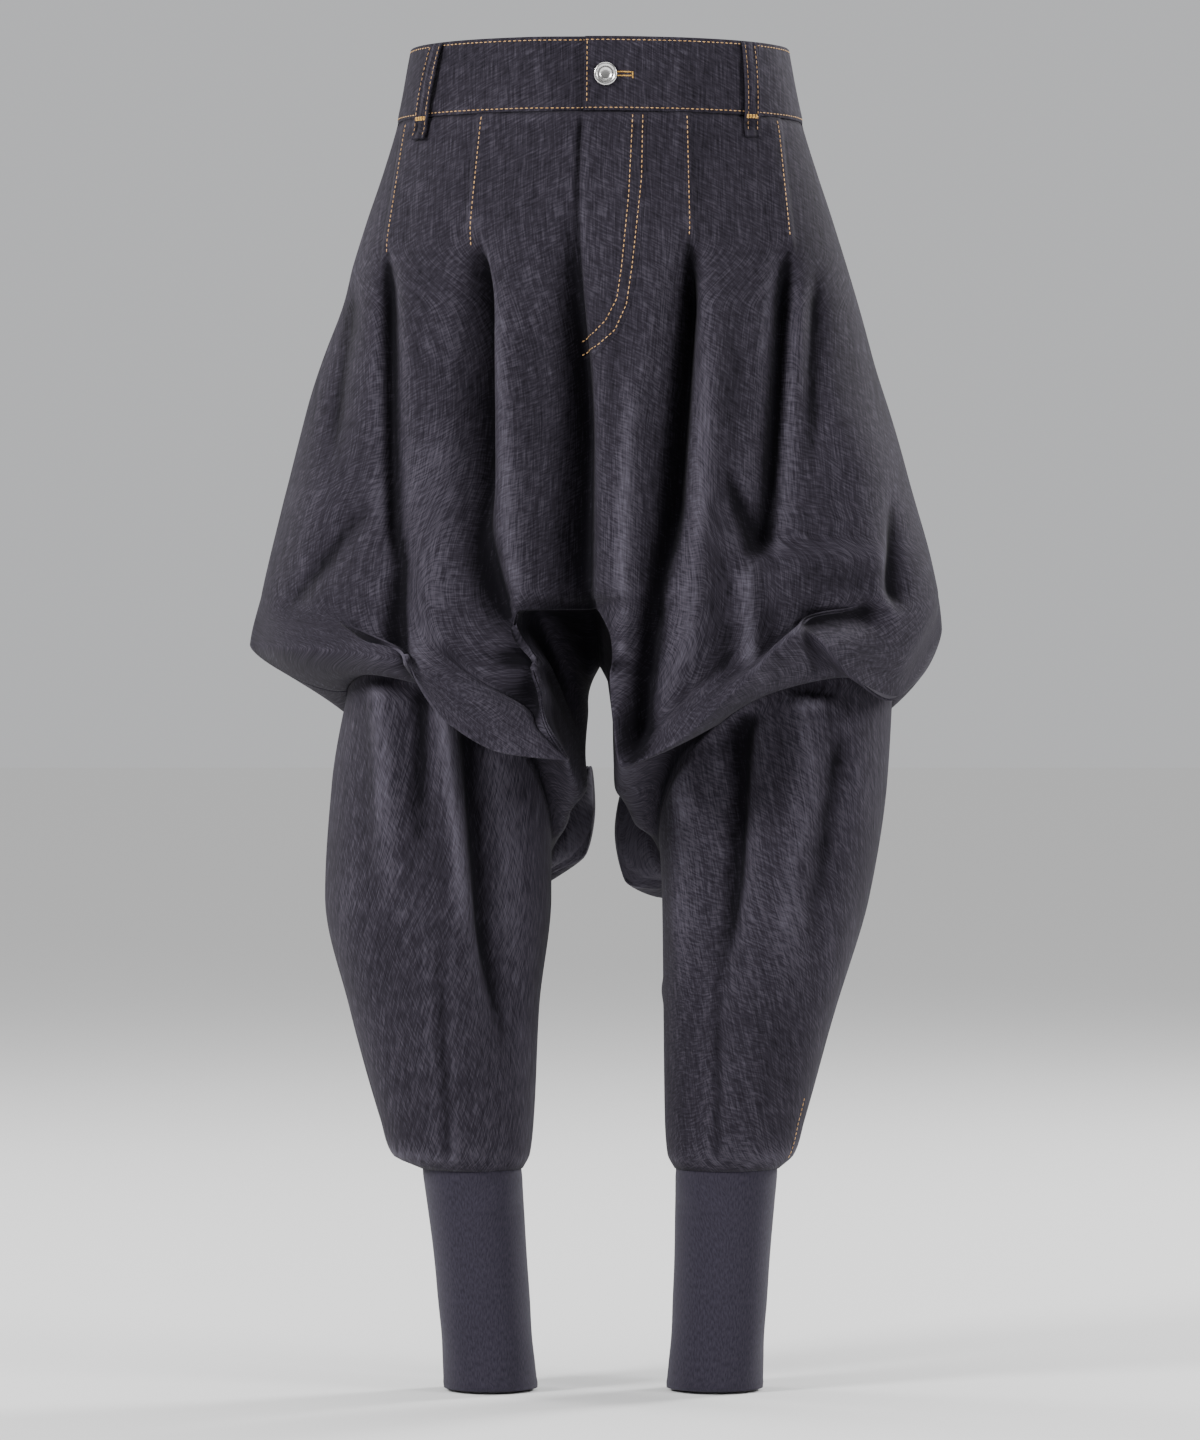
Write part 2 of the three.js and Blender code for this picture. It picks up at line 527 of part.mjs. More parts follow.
// A closed wall between rows of outer points and rows of inner points; cols are their places
function wall(cols, outer, inner, closed) {
  const points = [];
  const faces = [];
  const offsets = [outer, inner].map((rows) =>
    rows.map((row) => {
      const start = points.length;
      points.push(...row);
      return start;
    }),
  );
  const last = outer.length - 1;
  for (let r = 0; r < last; r += 1) {
    const [o0, o1, i0, i1] = [offsets[0][r], offsets[0][r + 1], offsets[1][r], offsets[1][r + 1]];
    zip(cols[r], cols[r + 1], o0, o1, closed, faces, false);
    zip(cols[r], cols[r + 1], i0, i1, closed, faces, true);
    if (closed) continue;
    faces.push(o0, o1, i1, o0, i1, i0);
    const [e0, e1] = [cols[r].length - 1, cols[r + 1].length - 1];
    faces.push(o0 + e0, i1 + e1, o1 + e1, o0 + e0, i0 + e0, i1 + e1);
  }
  zip(cols[0], cols[0], offsets[1][0], offsets[0][0], closed, faces, false);
  zip(cols[last], cols[last], offsets[0][last], offsets[1][last], closed, faces, false);
  let volume = 0;
  for (let f = 0; f < faces.length; f += 3) {
    const [a, b, c] = [points[faces[f]], points[faces[f + 1]], points[faces[f + 2]]];
    volume += a.dot(b.clone().cross(c));
  }
  if (volume < 0) faces.reverse();
  const geometry = new THREE.BufferGeometry().setFromPoints(points).setIndex(faces);
  geometry.computeVertexNormals();
  return geometry;
}

// A cloth wall on a surface: each row is a value of b with its own list of values of a.
// trim moves the first and last column off the seams they lie on, and settle turns the way
// that the surface faces at a place so that it fits the neighbouring piece.
const asIs = (a, b, n) => n;
function clothWall(surface, rows, flip, options = {}) {
  const { thick = CLOTH, closed = false, trim = 0, settle = asIs } = options;
  const over = closed ? 1 : 0;
  const range = [-over, 1 + over, rows[0].b, rows.at(-1).b];
  const outer = [];
  const inner = [];
  for (const { b, cols } of rows) {
    const outerRow = [];
    const innerRow = [];
    for (const a of cols) {
      const p = surface(a, b);
      const n = settle(a, b, facing(surface, a, b, range).multiplyScalar(-flip)).normalize();
      if (trim && (a === 0 || a === 1)) {
        const away = surface(a === 0 ? 0.01 : 0.99, b).sub(p);
        away.addScaledVector(n, -away.dot(n)).normalize();
        p.addScaledVector(away, trim);
      }
      outerRow.push(p);
      innerRow.push(p.clone().addScaledVector(n, -thick));
    }
    outer.push(outerRow);
    inner.push(innerRow);
  }
  return wall(rows.map((r) => r.cols), outer, inner, closed);
}

// Even rows and columns over a whole surface
const evenRows = (rows, cols) => steps(0, 1, rows).map((b) => ({ b, cols: steps(0, 1, cols) }));

const DENIM = { color: 0x3a3843, roughness: 0.85, metalness: 0 };
const JERSEY_CLOTH = { color: 0x38344a, roughness: 0.9, metalness: 0 };
const LABEL_CLOTH = { color: 0x101012, roughness: 0.6, metalness: 0 };
const METAL = { color: 0xd6d4d2, roughness: 0.3, metalness: 0.9 };

const pants = new THREE.Group();
function piece(name, geometry, look) {
  const mesh = new THREE.Mesh(geometry, new THREE.MeshStandardMaterial(look));
  mesh.name = name;
  pants.add(mesh);
  return mesh;
}

// Both sides of a seam face the same way, a waist seam and a cuff seam are cut level, and the
// fold under a drape ends upright against the leg.
function panelFacing(q, u, v) {
  const surface = (a, b) => quarterPoint(q, a, b);
  return facing(surface, u, v, [0, 1, 0, 2]).multiplyScalar(-q.flip);
}
function panelSettle(q, u, v, n) {
  if (v === 0) n.z = 0;
  if (v === 1) n.copy(panelFacing(q, u, 0.96)).add(panelFacing(q, u, 1.12));
  if (v === 2 && u >= q.join) n.set(0, 0, -1);
  if (u === 0) n.x = 0;
  if (u === 1) n.y = 0;
  return n;
}
function gussetSettle(along, across, n) {
  const side = across < 0 ? -1 : 1;
  const q = along === 0 ? frontQuarter(side) : backQuarter(side);
  if (along === 0 || along === 1) {
    const u = Math.abs(across) * q.join;
    return panelSettle(q, u, 2, panelFacing(q, u, 2));
  }
  if (Math.abs(across) < 1) return n;
  return rimOut(side, mix(frontQuarter(side).turn, backQuarter(side).turn - 360, along));
}
function bandSettle(a, b, n) {
  if (b === 0 || b === 1) n.z = 0;
  return n;
}
function legSettle(a, s, n) {
  if (a === 0 || a === 1) n.y = 0;
  if (s === 0 || s === 1) n.z = 0;
  return n;
}

// Body panels: the back ones have finer rows at the top, for the gathers
const HALF_SEAM = SEAM / 2;
const GATHER_STEPS = 60;
// Columns at even steps round the waist, each found by halving
function evenCols(q, count) {
  const [from, to] = [q.edge.deg(0), q.edge.deg(1)];
  return steps(from, to, count).map((deg, i) => {
    if (i === 0 || i === count) return i / count;
    let [low, high] = [0, 1];
    for (let k = 0; k < 30; k += 1) {
      const middle = (low + high) / 2;
      if ((q.edge.deg(middle) - deg) * (to - from) < 0) low = middle;
      else high = middle;
    }
    return low;
  });
}
const PANEL_ROWS = [0.3, 0.4, 0.5, 0.6, 0.7, 0.78, 0.86, 0.93, 1, 1.2, 1.5, 2];
for (const [name, q] of Object.entries(QUARTERS)) {
  const surface = (u, v) => {
    const p = quarterPoint(q, u, v);
    return v === 0 ? p.add(at(0, 0, -HALF_SEAM)) : p;
  };
  const fine = q.face === "front" ? q.cols : evenCols(q, GATHER_STEPS);
  const top = [0, 0.08, 0.16].map((b) => ({ b, cols: fine }));
  const rows = [...top, ...[0.23, ...PANEL_ROWS].map((b) => ({ b, cols: q.cols }))];
  const options = { trim: HALF_SEAM, settle: (u, v, n) => panelSettle(q, u, v, n) };
  piece(name, clothWall(surface, rows, q.flip, options), DENIM);
}

const gussetRows = steps(-1, 1, 2 * GUSSET_ROWS).map((b) => ({ b, cols: steps(0, 1, GUSSET_STEPS) }));
piece("gusset", clothWall(gussetPoint, gussetRows, -1, { settle: gussetSettle }), DENIM);

// Lower legs, each of a front and a back. Their top row meets the folds and the gusset point by point.
const LEG_ROWS = [0.08, 0.2, 0.32, 0.44, 0.56, 0.68, 0.8, 0.92, 0.97, 1];
const LEG_COLS = 12;
const rimTurns = (q) => q.cols.filter((u) => u >= q.join).map((u) => rimTurn(q, u));
for (const side of [1, -1]) {
  const front = frontQuarter(side);
  const back = backQuarter(side);
  const inside = steps(back.turn, front.turn + 360, GUSSET_STEPS);
  const tops = {
    front: [...inside.filter((t) => t > 270.1).map((t) => t - 360), ...rimTurns(front).slice(1)],
    back: [...rimTurns(back).reverse(), ...inside.filter((t) => t > back.turn && t < 270.1)],
  };
  for (const [face, low, high] of [["front", -90, 90], ["back", 90, 270]]) {
    const surface = (a, s) => lowerLegPoint(side, mix(low, high, a), s);
    const top = [...new Set([low, ...tops[face], high])].map((t) => clamp((t - low) / (high - low), 0, 1));
    const rows = [{ b: 0, cols: top.filter((a, i) => i === 0 || a > top[i - 1] + 1e-6) }];
    rows.push(...LEG_ROWS.map((b) => ({ b, cols: steps(0, 1, LEG_COLS) })));
    const geometry = clothWall(surface, rows, side, { trim: HALF_SEAM, settle: legSettle });
    piece(`leg_${face}_${sideName(side)}`, geometry, DENIM);
  }
  const section = cuffAt[sideName(side)];
  const cuff = (a, b) => legPoint(side, section, a * 360, mix(CUFF_SEAM - SEAM, CUFF_HEM, b));
  const rows = steps(0, 1, 3).map((b) => ({ b, cols: steps(0, 1, 20).slice(0, -1) }));
  const options = { thick: JERSEY, closed: true, settle: bandSettle };
  piece(`cuff_${sideName(side)}`, clothWall(cuff, rows, side, options), JERSEY_CLOTH);
}

// Waistband. Its left front laps over its right front at the centre, and its back is gathered.
const BAND_PROUD = 0.6;
const LAP_DEG = 9;
const lapDrop = (deg) => (BAND_CLOTH + SEAM + 0.2) * (1 - ease(4, 22, -deg));
function bandPoint(deg, b, drop = 0) {
  const z = mix(WAIST_TOP, WAIST_SEAM + HALF_SEAM, b);
  const seam = ease(1, 0.75, b);
  const waves = gatherDepth((deg + 360) % 360, WAIST_SEAM - 8) * seam;
  return bodyPoint(deg, z).addScaledVector(bodyOut(deg, z), BAND_PROUD - drop + waves);
}
const BAND_ROWS = 2;
const BANDS = [
  { name: "waistband_front_left", from: FRONT_SEAM_DEG, to: 90, cols: 14, lap: false },
  { name: "waistband_front_right", from: LAP_DEG, to: -90, cols: 15, lap: true },
  { name: "waistband_back", from: 90, to: 270, cols: 4 * GATHERS, lap: false },
];
for (const band of BANDS) {
  const surface = (a, b) => {
    const deg = mix(band.from, band.to, a);
    return bandPoint(deg, b, band.lap ? lapDrop(deg) : 0);
  };
  const options = { thick: BAND_CLOTH, trim: HALF_SEAM, settle: bandSettle };
  const flip = band.to > band.from ? 1 : -1;
  piece(band.name, clothWall(surface, evenRows(BAND_ROWS, band.cols), flip, options), DENIM);
}

// Belt loops: strips that stand a little off the waistband, and run from its top to below its
// seam. topX and lowX are their slants, and each keeps its width round the waist.
const LOOP_WIDTH = 13;
const LOOP_CLOTH = 1.8;
const LOOP_END_Z = -42;
const LOOP_LOW = 3;
const LOOP_BOW = 2.6;
const LOOPS = [
  { name: "belt_loop_front_right", topX: -118, lowX: -131, front: true },
  { name: "belt_loop_front_left", topX: 107, lowX: 110, front: true },
  { name: "belt_loop_back_left", topX: 104, lowX: 108, front: false },
  { name: "belt_loop_back_right", topX: -88, lowX: -94, front: false },
];
for (const loop of LOOPS) {
  const surface = (a, b) => {
    const z = mix(WAIST_TOP - 1, LOOP_END_Z, b);
    const stand = LOOP_LOW + LOOP_BOW * Math.sin(Math.PI * clamp(b, 0, 1)) ** 0.6;
    const middle = headingAt(mix(loop.topX, loop.lowX, b), z, loop.front);
    const perDegree = bodyPoint(middle + 0.5, z).distanceTo(bodyPoint(middle - 0.5, z));
    const deg = middle + ((a - 0.5) * LOOP_WIDTH) / perDegree;
    return bodyPoint(deg, z).addScaledVector(bodyOut(deg, z), stand);
  };
  const flip = loop.front ? 1 : -1;
  piece(loop.name, clothWall(surface, evenRows(7, 2), flip, { thick: LOOP_CLOTH }), DENIM);
}

// The fly: the front's lap over the opening, with its lower end rounded to the centre seam
const FLY = [
  { z: -27, left: -13, right: 34 },
  { z: -75, left: -15, right: 33 },
  { z: -140, left: -17, right: 27 },
  { z: -168, left: -18, right: 22 },
  { z: -188, left: -18.5, right: 13 },
  { z: -202, left: -19, right: -2 },
  { z: -209, left: -19, right: -12 },
];
const flyAt = columns(FLY, "z", ["left", "right"]);
const FLY_CLOTH = 1.6;
const FLY_STAND = SEAM + 0.6 + FLY_CLOTH;
const flySurface = (a, b) => {
  const z = mix(FLY[0].z, FLY.at(-1).z, b);
  const x = mix(flyAt.left(z), flyAt.right(z), a);
  return layPoint(x, z, true, FLY_STAND);
};
piece("fly", clothWall(flySurface, evenRows(14, 3), 1, { thick: FLY_CLOTH }), DENIM);

// Back pockets, each cut at a slant with one pleat: its four corners as seen from behind
const POCKET_CLOTH = 2;
const POCKETS = [
  {
    name: "pocket_left",
    topIn: [48, -54],
    topOut: [160, -110],
    lowIn: [26, -216],
    lowOut: [134, -258],
    pleat: 0.66,
  },
  {
    name: "pocket_right",
    topIn: [-22, -60],
    topOut: [-126, -103],
    lowIn: [12, -228],
    lowOut: [-90, -270],
    pleat: 0.62,
  },
];
const PLEAT_HALF = 0.1;
const PLEAT_EDGE = 0.03;
const PLEAT_RISE = 2.4;
const MOUTH_RISE = 5;
const HEM_BOW = 9;
for (const pocket of POCKETS) {
  const surface = (a, b) => {
    const bow = Math.sin(Math.PI * a) * HEM_BOW * b;
    const [x, z] = [0, 1].map((i) => {
      const top = mix(pocket.topIn[i], pocket.topOut[i], a);
      return mix(top, mix(pocket.lowIn[i], pocket.lowOut[i], a), b) - i * bow;
    });
    const pleat = PLEAT_RISE * ease(PLEAT_HALF + PLEAT_EDGE, PLEAT_HALF, Math.abs(a - pocket.pleat));
    const mouth = MOUTH_RISE * (1 - ease(0, 0.3, b)) * Math.sin(Math.PI * a);
    const outside = 0.8 * ease(0.6, 1, a);
    return layPoint(x, z, false, SEAM + 0.3 + POCKET_CLOTH + pleat + mouth + outside);
  };
  const flip = pocket.topOut[0] > 0 ? -1 : 1;
  const [p0, p1] = [pocket.pleat - PLEAT_HALF, pocket.pleat + PLEAT_HALF];
  const cols = [0, 0.18, 0.36, p0 - PLEAT_EDGE, p0, pocket.pleat, p1, p1 + PLEAT_EDGE, 1];
  const rows = steps(0, 1, 8).map((b) => ({ b, cols }));
  piece(pocket.name, clothWall(surface, rows, flip, { thick: POCKET_CLOTH }), DENIM);
}

// A plain woven tab sewn into the left pocket's inner edge
const TAB_CLOTH = 1;
const tabSurface = (a, b) => {
  const x = mix(34, 21, a) - 4 * b;
  const z = mix(-88, -122, b);
  return layPoint(x, z, false, SEAM + 0.3 + TAB_CLOTH);
};
piece("label_tab", clothWall(tabSurface, evenRows(3, 2), 1, { thick: TAB_CLOTH }), LABEL_CLOTH);

// The waist button: a dished metal cap on a short foot
const BUTTON_X = 4;
const BUTTON_Z = 1;
const BUTTON_PROFILE = [
  { r: 0, h: 0 },
  { r: 0.5, h: 0 },
  { r: 0.5, h: 1.4 },
  { r: 1, h: 1.6 },
  { r: 0.98, h: 3.1 },
  { r: 0.76, h: 3.5 },
  { r: 0.62, h: 2.9 },
  { r: 0, h: 3.3 },
];
const buttonShape = new THREE.LatheGeometry(
  BUTTON_PROFILE.map((p) => new THREE.Vector2((p.r * BUTTON_WIDTH) / 2, p.h)),
  18,
);
const button = piece("button", buttonShape, METAL);
const BUTTON_STAND = BAND_PROUD + SEAM + 0.1;
const buttonDeg = headingAt(BUTTON_X, BUTTON_Z, true);
button.position.copy(bodyPoint(buttonDeg, BUTTON_Z));
button.position.addScaledVector(bodyOut(buttonDeg, BUTTON_Z), BUTTON_STAND);
button.rotation.set(Math.PI, 0, 0);

export default pants;
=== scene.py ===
"""Harem trousers in dark denim: body panels in drapes over tapered lower legs with jersey cuffs.
They keep the form they have when worn. The front faces -Y and the wearer's left is +X."""

import json
import math

import bmesh
import bpy
import numpy as np
from mathutils import Matrix, Vector
from mathutils.bvhtree import BVHTree

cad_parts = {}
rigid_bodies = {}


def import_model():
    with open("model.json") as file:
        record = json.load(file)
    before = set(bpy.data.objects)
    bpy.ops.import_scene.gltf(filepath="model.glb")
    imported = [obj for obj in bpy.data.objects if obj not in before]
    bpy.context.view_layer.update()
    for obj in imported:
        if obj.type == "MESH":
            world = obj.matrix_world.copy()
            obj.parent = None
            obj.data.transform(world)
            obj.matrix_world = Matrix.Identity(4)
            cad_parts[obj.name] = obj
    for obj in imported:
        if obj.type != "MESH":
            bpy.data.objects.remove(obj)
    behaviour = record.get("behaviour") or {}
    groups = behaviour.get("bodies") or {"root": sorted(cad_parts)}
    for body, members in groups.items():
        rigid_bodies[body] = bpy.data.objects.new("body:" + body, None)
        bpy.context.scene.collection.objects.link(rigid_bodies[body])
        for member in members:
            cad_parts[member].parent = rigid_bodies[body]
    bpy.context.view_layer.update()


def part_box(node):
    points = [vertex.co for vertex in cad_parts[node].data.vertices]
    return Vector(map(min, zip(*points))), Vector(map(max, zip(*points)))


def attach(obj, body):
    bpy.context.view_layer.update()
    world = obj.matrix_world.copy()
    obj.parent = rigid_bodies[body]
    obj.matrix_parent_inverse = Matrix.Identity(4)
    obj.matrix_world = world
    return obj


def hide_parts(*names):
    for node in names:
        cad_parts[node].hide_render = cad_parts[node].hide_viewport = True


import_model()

# Front body panels
# Two wide panels of 12 oz denim, cut much wider than the leg, stitched down in two tucks each
# under the waistband. Below the tucks the spare cloth falls in folds and hangs over the legs.
MM = 0.001
WAIST_SEAM = -26.0
HANG = -370.0
HANG_V = 0.7
DENIM_THICK = 2.0
FRONT_GRID = (150, 190)
SEAM_PULL = 1.1
SEAM_PULL_WIDE = 2.6
WASHED = 0.7
BODY = {
    "z": (30, -26, -60, -99, -161, -224, -286, -348, -400),
    "half": (139, 150, 160, 173, 192, 209, 227, 245, 256),
    "front": (97, 101, 108, 116, 127, 138, 147, 155, 160),
    "back": (101, 107, 121, 134, 146, 151, 152, 150, 148),
}
FRONT_LEFT_EDGE = {
    "u": (0, 0.08, 0.14, 0.22, 0.3, 0.4, 0.5, 0.62, 0.74, 0.84, 0.92, 1),
    "deg": (-4.6, 3, 8.6, 16.2, 23.8, 33.2, 42.7, 54.1, 65.4, 74.9, 82.4, 90),
    "x": (-15, -7, 6, 9, 17, 57, 96, 148, 182, 211, 232, 254),
    "y": (-126, -130, -138, -141, -138, -156, -162, -148, -118, -82, -44, 4),
    "z": (-386, -388, -408, -458, -501, -481, -447, -403, -436, -452, -434, -400),
}
FRONT_RIGHT_EDGE = {
    "u": (0, 0.1, 0.16, 0.23, 0.3, 0.4, 0.5, 0.62, 0.74, 0.86, 1),
    "deg": (-4.6, -13.1, -18.3, -24.2, -30.2, -38.8, -47.3, -57.5, -67.8, -78, -90),
    "x": (-15, -66, -79, -54, -24, -71, -112, -148, -180, -229, -260),
    "y": (-126, -146, -152, -149, -140, -158, -160, -142, -116, -66, 4),
    "z": (-386, -388, -402, -448, -496, -490, -467, -424, -418, -414, -412),
}
# A fold runs from one place to another as seen from the front: how wide it is at each end, how
# deep (a ridge is above zero), the lengths over which it comes in and fades out, and how far its
# bottom slips sideways under the cloth beside it, as a share of its depth.
FRONT_FOLDS = [
    (-92, -104, -107, -372, 7, 22, -32, 70, 80, 0.6),
    (-112, -300, -50, -484, 20, 12, -22, 70, 40, 0.5),
    (-70, -130, -68, -420, 12, 13, 8, 90, 10, 0),
    (-24, -60, -34, -430, 9, 27, -40, 210, 1, 0.5),
    (-14, -27, -22, -214, 3, 3, -3.5, 6, 8, 0),
    (23, -190, 10, -430, 10, 10, 7, 80, 10, 0),
    (64, -104, 36, -380, 7, 17, -30, 70, 70, 0.6),
    (40, -316, 26, -500, 15, 10, -20, 60, 30, 0.4),
    (86, -130, 56, -460, 14, 15, 8, 90, 60, 0),
    (-157, -112, -146, -362, 5, 9, -14, 60, 34, -0.5),
    (-146, -328, -148, -450, 9, 9, -11, 34, 1, 0),
    (-122, -210, -118, -440, 14, 16, 7, 80, 40, 0),
    (137, -112, 116, -352, 6, 10, -17, 60, 20, 0.5),
    (86, -276, 116, -358, 8, 9, -9, 44, 30, 0.3),
    (136, -366, 104, -330, 13, 10, -7, 22, 20, 0),
    (104, -350, 106, -440, 9, 9, 6, 20, 20, 0),
    (178, -200, 184, -372, 30, 30, 12, 90, 30, 0),
    (140, -402, 216, -386, 9, 10, -13, 20, 20, 0),
    (219, -392, 208, -290, 8, 8, -9, 20, 60, 0),
    (-236, -396, -160, -300, 10, 10, -4, 30, 30, 0),
    (-200, -150, -214, -360, 20, 24, 5, 90, 60, 0),
    (160, -128, 150, -300, 7, 9, -6, 50, 60, 0.4),
    (-182, -130, -196, -300, 8, 10, -6, 50, 60, -0.4),
]
# The stitched tucks in front: where each starts at the waist and where its stitching ends
TUCKS = [
    ((-142, -29), (-157, -127)),
    ((-86, -28), (-95, -125)),
    ((63, -28), (65, -119)),
    ((129, -28), (138, -118)),
]
TUCK_PROUD = 1.5
TURNED_UP = 14.0


def ease(start, end, x):
    t = np.clip((x - start) / (end - start), 0, 1)
    return t * t * (3 - 2 * t)


def mix(a, b, t):
    return a + (b - a) * t


def at(x, y, z):
    return np.stack(np.broadcast_arrays(*(np.asarray(c, float) for c in (x, y, z))), -1)


def unit(v):
    return v / np.maximum(np.linalg.norm(v, axis=-1, keepdims=True), 1e-9)


def times(v, k):
    return v * np.asarray(k)[..., None]


def smooth_line(table, key, name):
    """A line through one column of a table that never swings past its points."""
    x, y = (np.array(table[k], float) for k in (key, name))
    order = np.argsort(x)
    x, y = x[order], y[order]
    gap = np.diff(x)
    rise = np.diff(y) / gap
    lean = np.concatenate([rise[:1], np.zeros(len(x) - 2), rise[-1:]])
    for i in range(1, len(x) - 1):
        if rise[i - 1] * rise[i] > 0:
            before = (2 * gap[i] + gap[i - 1]) / rise[i - 1]
            after = (gap[i] + 2 * gap[i - 1]) / rise[i]
            lean[i] = 3 * (gap[i] + gap[i - 1]) / (before + after)

    def line(v):
        v = np.clip(v, x[0], x[-1])
        i = np.clip(np.searchsorted(x, v) - 1, 0, len(x) - 2)
        t = (v - x[i]) / gap[i]
        s = 1 - t
        ends = y[i] * s * s * (1 + 2 * t) + y[i + 1] * t * t * (3 - 2 * t)
        return ends + gap[i] * (lean[i] * t * s * s - lean[i + 1] * s * t * t)

    return line


def lines_of(table, key, names):
    return {name: smooth_line(table, key, name) for name in names}


def bezier(a, b, c, d, t):
    s = 1 - t
    return times(a, s**3) + times(b, 3 * s * s * t) + times(c, 3 * s * t * t) + times(d, t**3)


body_half, body_front, body_back = lines_of(BODY, "z", ("half", "front", "back")).values()


def body_ring(deg, z):
    """Sine and cosine of a heading round the body, 0 in front, with the half width and depth."""
    c, s = np.cos(np.radians(deg)), np.sin(np.radians(deg))
    return s, c, body_half(z), np.where(c > 0, body_front(z), body_back(z))


def body_point(deg, z):
    s, c, half, depth = body_ring(deg, z)
    return at(half * s, -depth * c, z)


def body_out(deg, z):
    s, c, half, depth = body_ring(deg, z)
    return unit(at(s / half, -c / depth, 0))


def body_along(deg, z):
    """The level way along the cloth, to the wearer's left."""
    s, c, half, depth = body_ring(deg, z)
    return times(unit(at(half * c, depth * s, 0)), np.where(c > 0, 1, -1))


def fold_moves(folds, x, z, bow=0.0):
    """How far the folds push the cloth out and slip it along. A trough has a tight bottom.

    The bow bends each fold to one side by that share of its length.
    """
    push, slip = np.zeros(np.broadcast(x, z).shape), np.zeros(np.broadcast(x, z).shape)
    for x0, z0, x1, z1, wide0, wide1, deep, come, fade, lean in folds:
        long = math.hypot(x1 - x0, z1 - z0)
        dx, dz = (x1 - x0) / long, (z1 - z0) / long
        along = (x - x0) * dx + (z - z0) * dz
        across = (x - x0) * dz - (z - z0) * dx
        across = across - bow * long * np.sin(np.pi * np.clip(along / long, 0, 1))
        wide = mix(wide0, wide1, np.clip(along / long, 0, 1))
        ends = ease(0, come, along) * (1 - ease(long - fade, long, along))
        shape = np.exp(-(np.abs(across / wide) ** (1.6 if deep < 0 else 2)))
        here = np.where((along > 0) & (along < long), deep * ends * shape, 0)
        push += here
        slip -= lean * here
    return push, slip


def fold_depth(folds, x, z):
    return fold_moves(folds, x, z)[0]


def soft_waves(x, z, size):
    """The slight unevenness of washed cloth, longer down the cloth than across it."""
    first = 0.5 * np.sin(x / 17 + z / 160 + 1) + 0.35 * np.sin(x / 9.3 - z / 90 + 2)
    second = 0.3 * np.sin(z / 31 + x / 50) + 0.25 * np.sin(x / 6.1 + z / 43 + 0.7)
    return size * (first + second)


def tuck_step(x, z):
    """Each tuck's folded edge stands a little proud beside its stitching."""
    total = np.zeros(np.broadcast(x, z).shape)
    for (x0, z0), (x1, z1) in TUCKS:
        line = mix(x0, x1, np.clip((z - z0) / (z1 - z0), 0, 1.15))
        aside = (x - line) * (1 if x0 < 0 else -1)
        edge = ease(-4.2, -2.6, aside) * ease(15, 0, aside)
        total += TUCK_PROUD * edge * ease(z1 - 30, z1 + 6, z)
    return total


def off_seams(deg):
    """The sides and the middle seams hold the cloth flat."""
    deg = np.asarray(deg)
    return ease(0, 5, np.abs(np.abs(deg - 90) % 180)) * ease(0, 5, np.abs(deg + 90))


def front_form(deg, z):
    p = body_point(deg, z)
    push, slip = fold_moves(FRONT_FOLDS, p[..., 0], z)
    depth = push + soft_waves(p[..., 0], z, WASHED) * off_seams(deg)
    depth = depth * ease(WAIST_SEAM, WAIST_SEAM - 14, z) + tuck_step(p[..., 0], z)
    pull = SEAM_PULL * np.exp(-(((WAIST_SEAM - z) / SEAM_PULL_WIDE) ** 2))
    return p + times(body_out(deg, z), depth - pull) + times(body_along(deg, z), slip)


# The lower legs that the drapes hang over: 1 is the wearer's left leg and -1 the right one
TUBE = ("inner", "outer", "front", "back")
LEG_BOTH = {
    "z": (-430, -515, -598, -681, -764, -790, -800),
    "front": (92, 98, 98, 82, 62, 53, 44),
    "back": (86, 96, 101, 88, 68, 59, 50),
}
LEG = {
    1: {
        **LEG_BOTH,
        "inner": (44, 42, 46, 47, 48, 50, 55),
        "outer": (218, 213, 200, 175, 152, 144, 133),
    },
    -1: {
        **LEG_BOTH,
        "inner": (42, 36, 36, 45, 49, 52, 57),
        "outer": (184, 199, 204, 186, 163, 154, 133),
    },
}
RIM = {
    "turn": (-90, -45, 0, 45, 90, 135, 180, 230, 270),
    "z": (-566, -490, -446, -434, -446, -474, -545, -592, -566),
}
rim_height = smooth_line(RIM, "turn", "z")
leg_lines = {side: lines_of(table, "z", TUBE) for side, table in LEG.items()}


def tube_point(side, lines, turn, z):
    """A place on a leg or a cuff: turn is 0 in front, 90 outside and 180 behind."""
    inner, outer = lines["inner"](z), lines["outer"](z)
    c, s = np.cos(np.radians(turn)), np.sin(np.radians(turn))
    depth = np.where(c > 0, lines["front"](z), lines["back"](z))
    return at(side * ((inner + outer) / 2 + (outer - inner) / 2 * s), -depth * c, z)


def leg_out(side, turn):
    return at(side * np.sin(np.radians(turn)), -np.cos(np.radians(turn)), 0)


def rim_point(side, turn):
    return tube_point(side, leg_lines[side], turn, rim_height(turn))


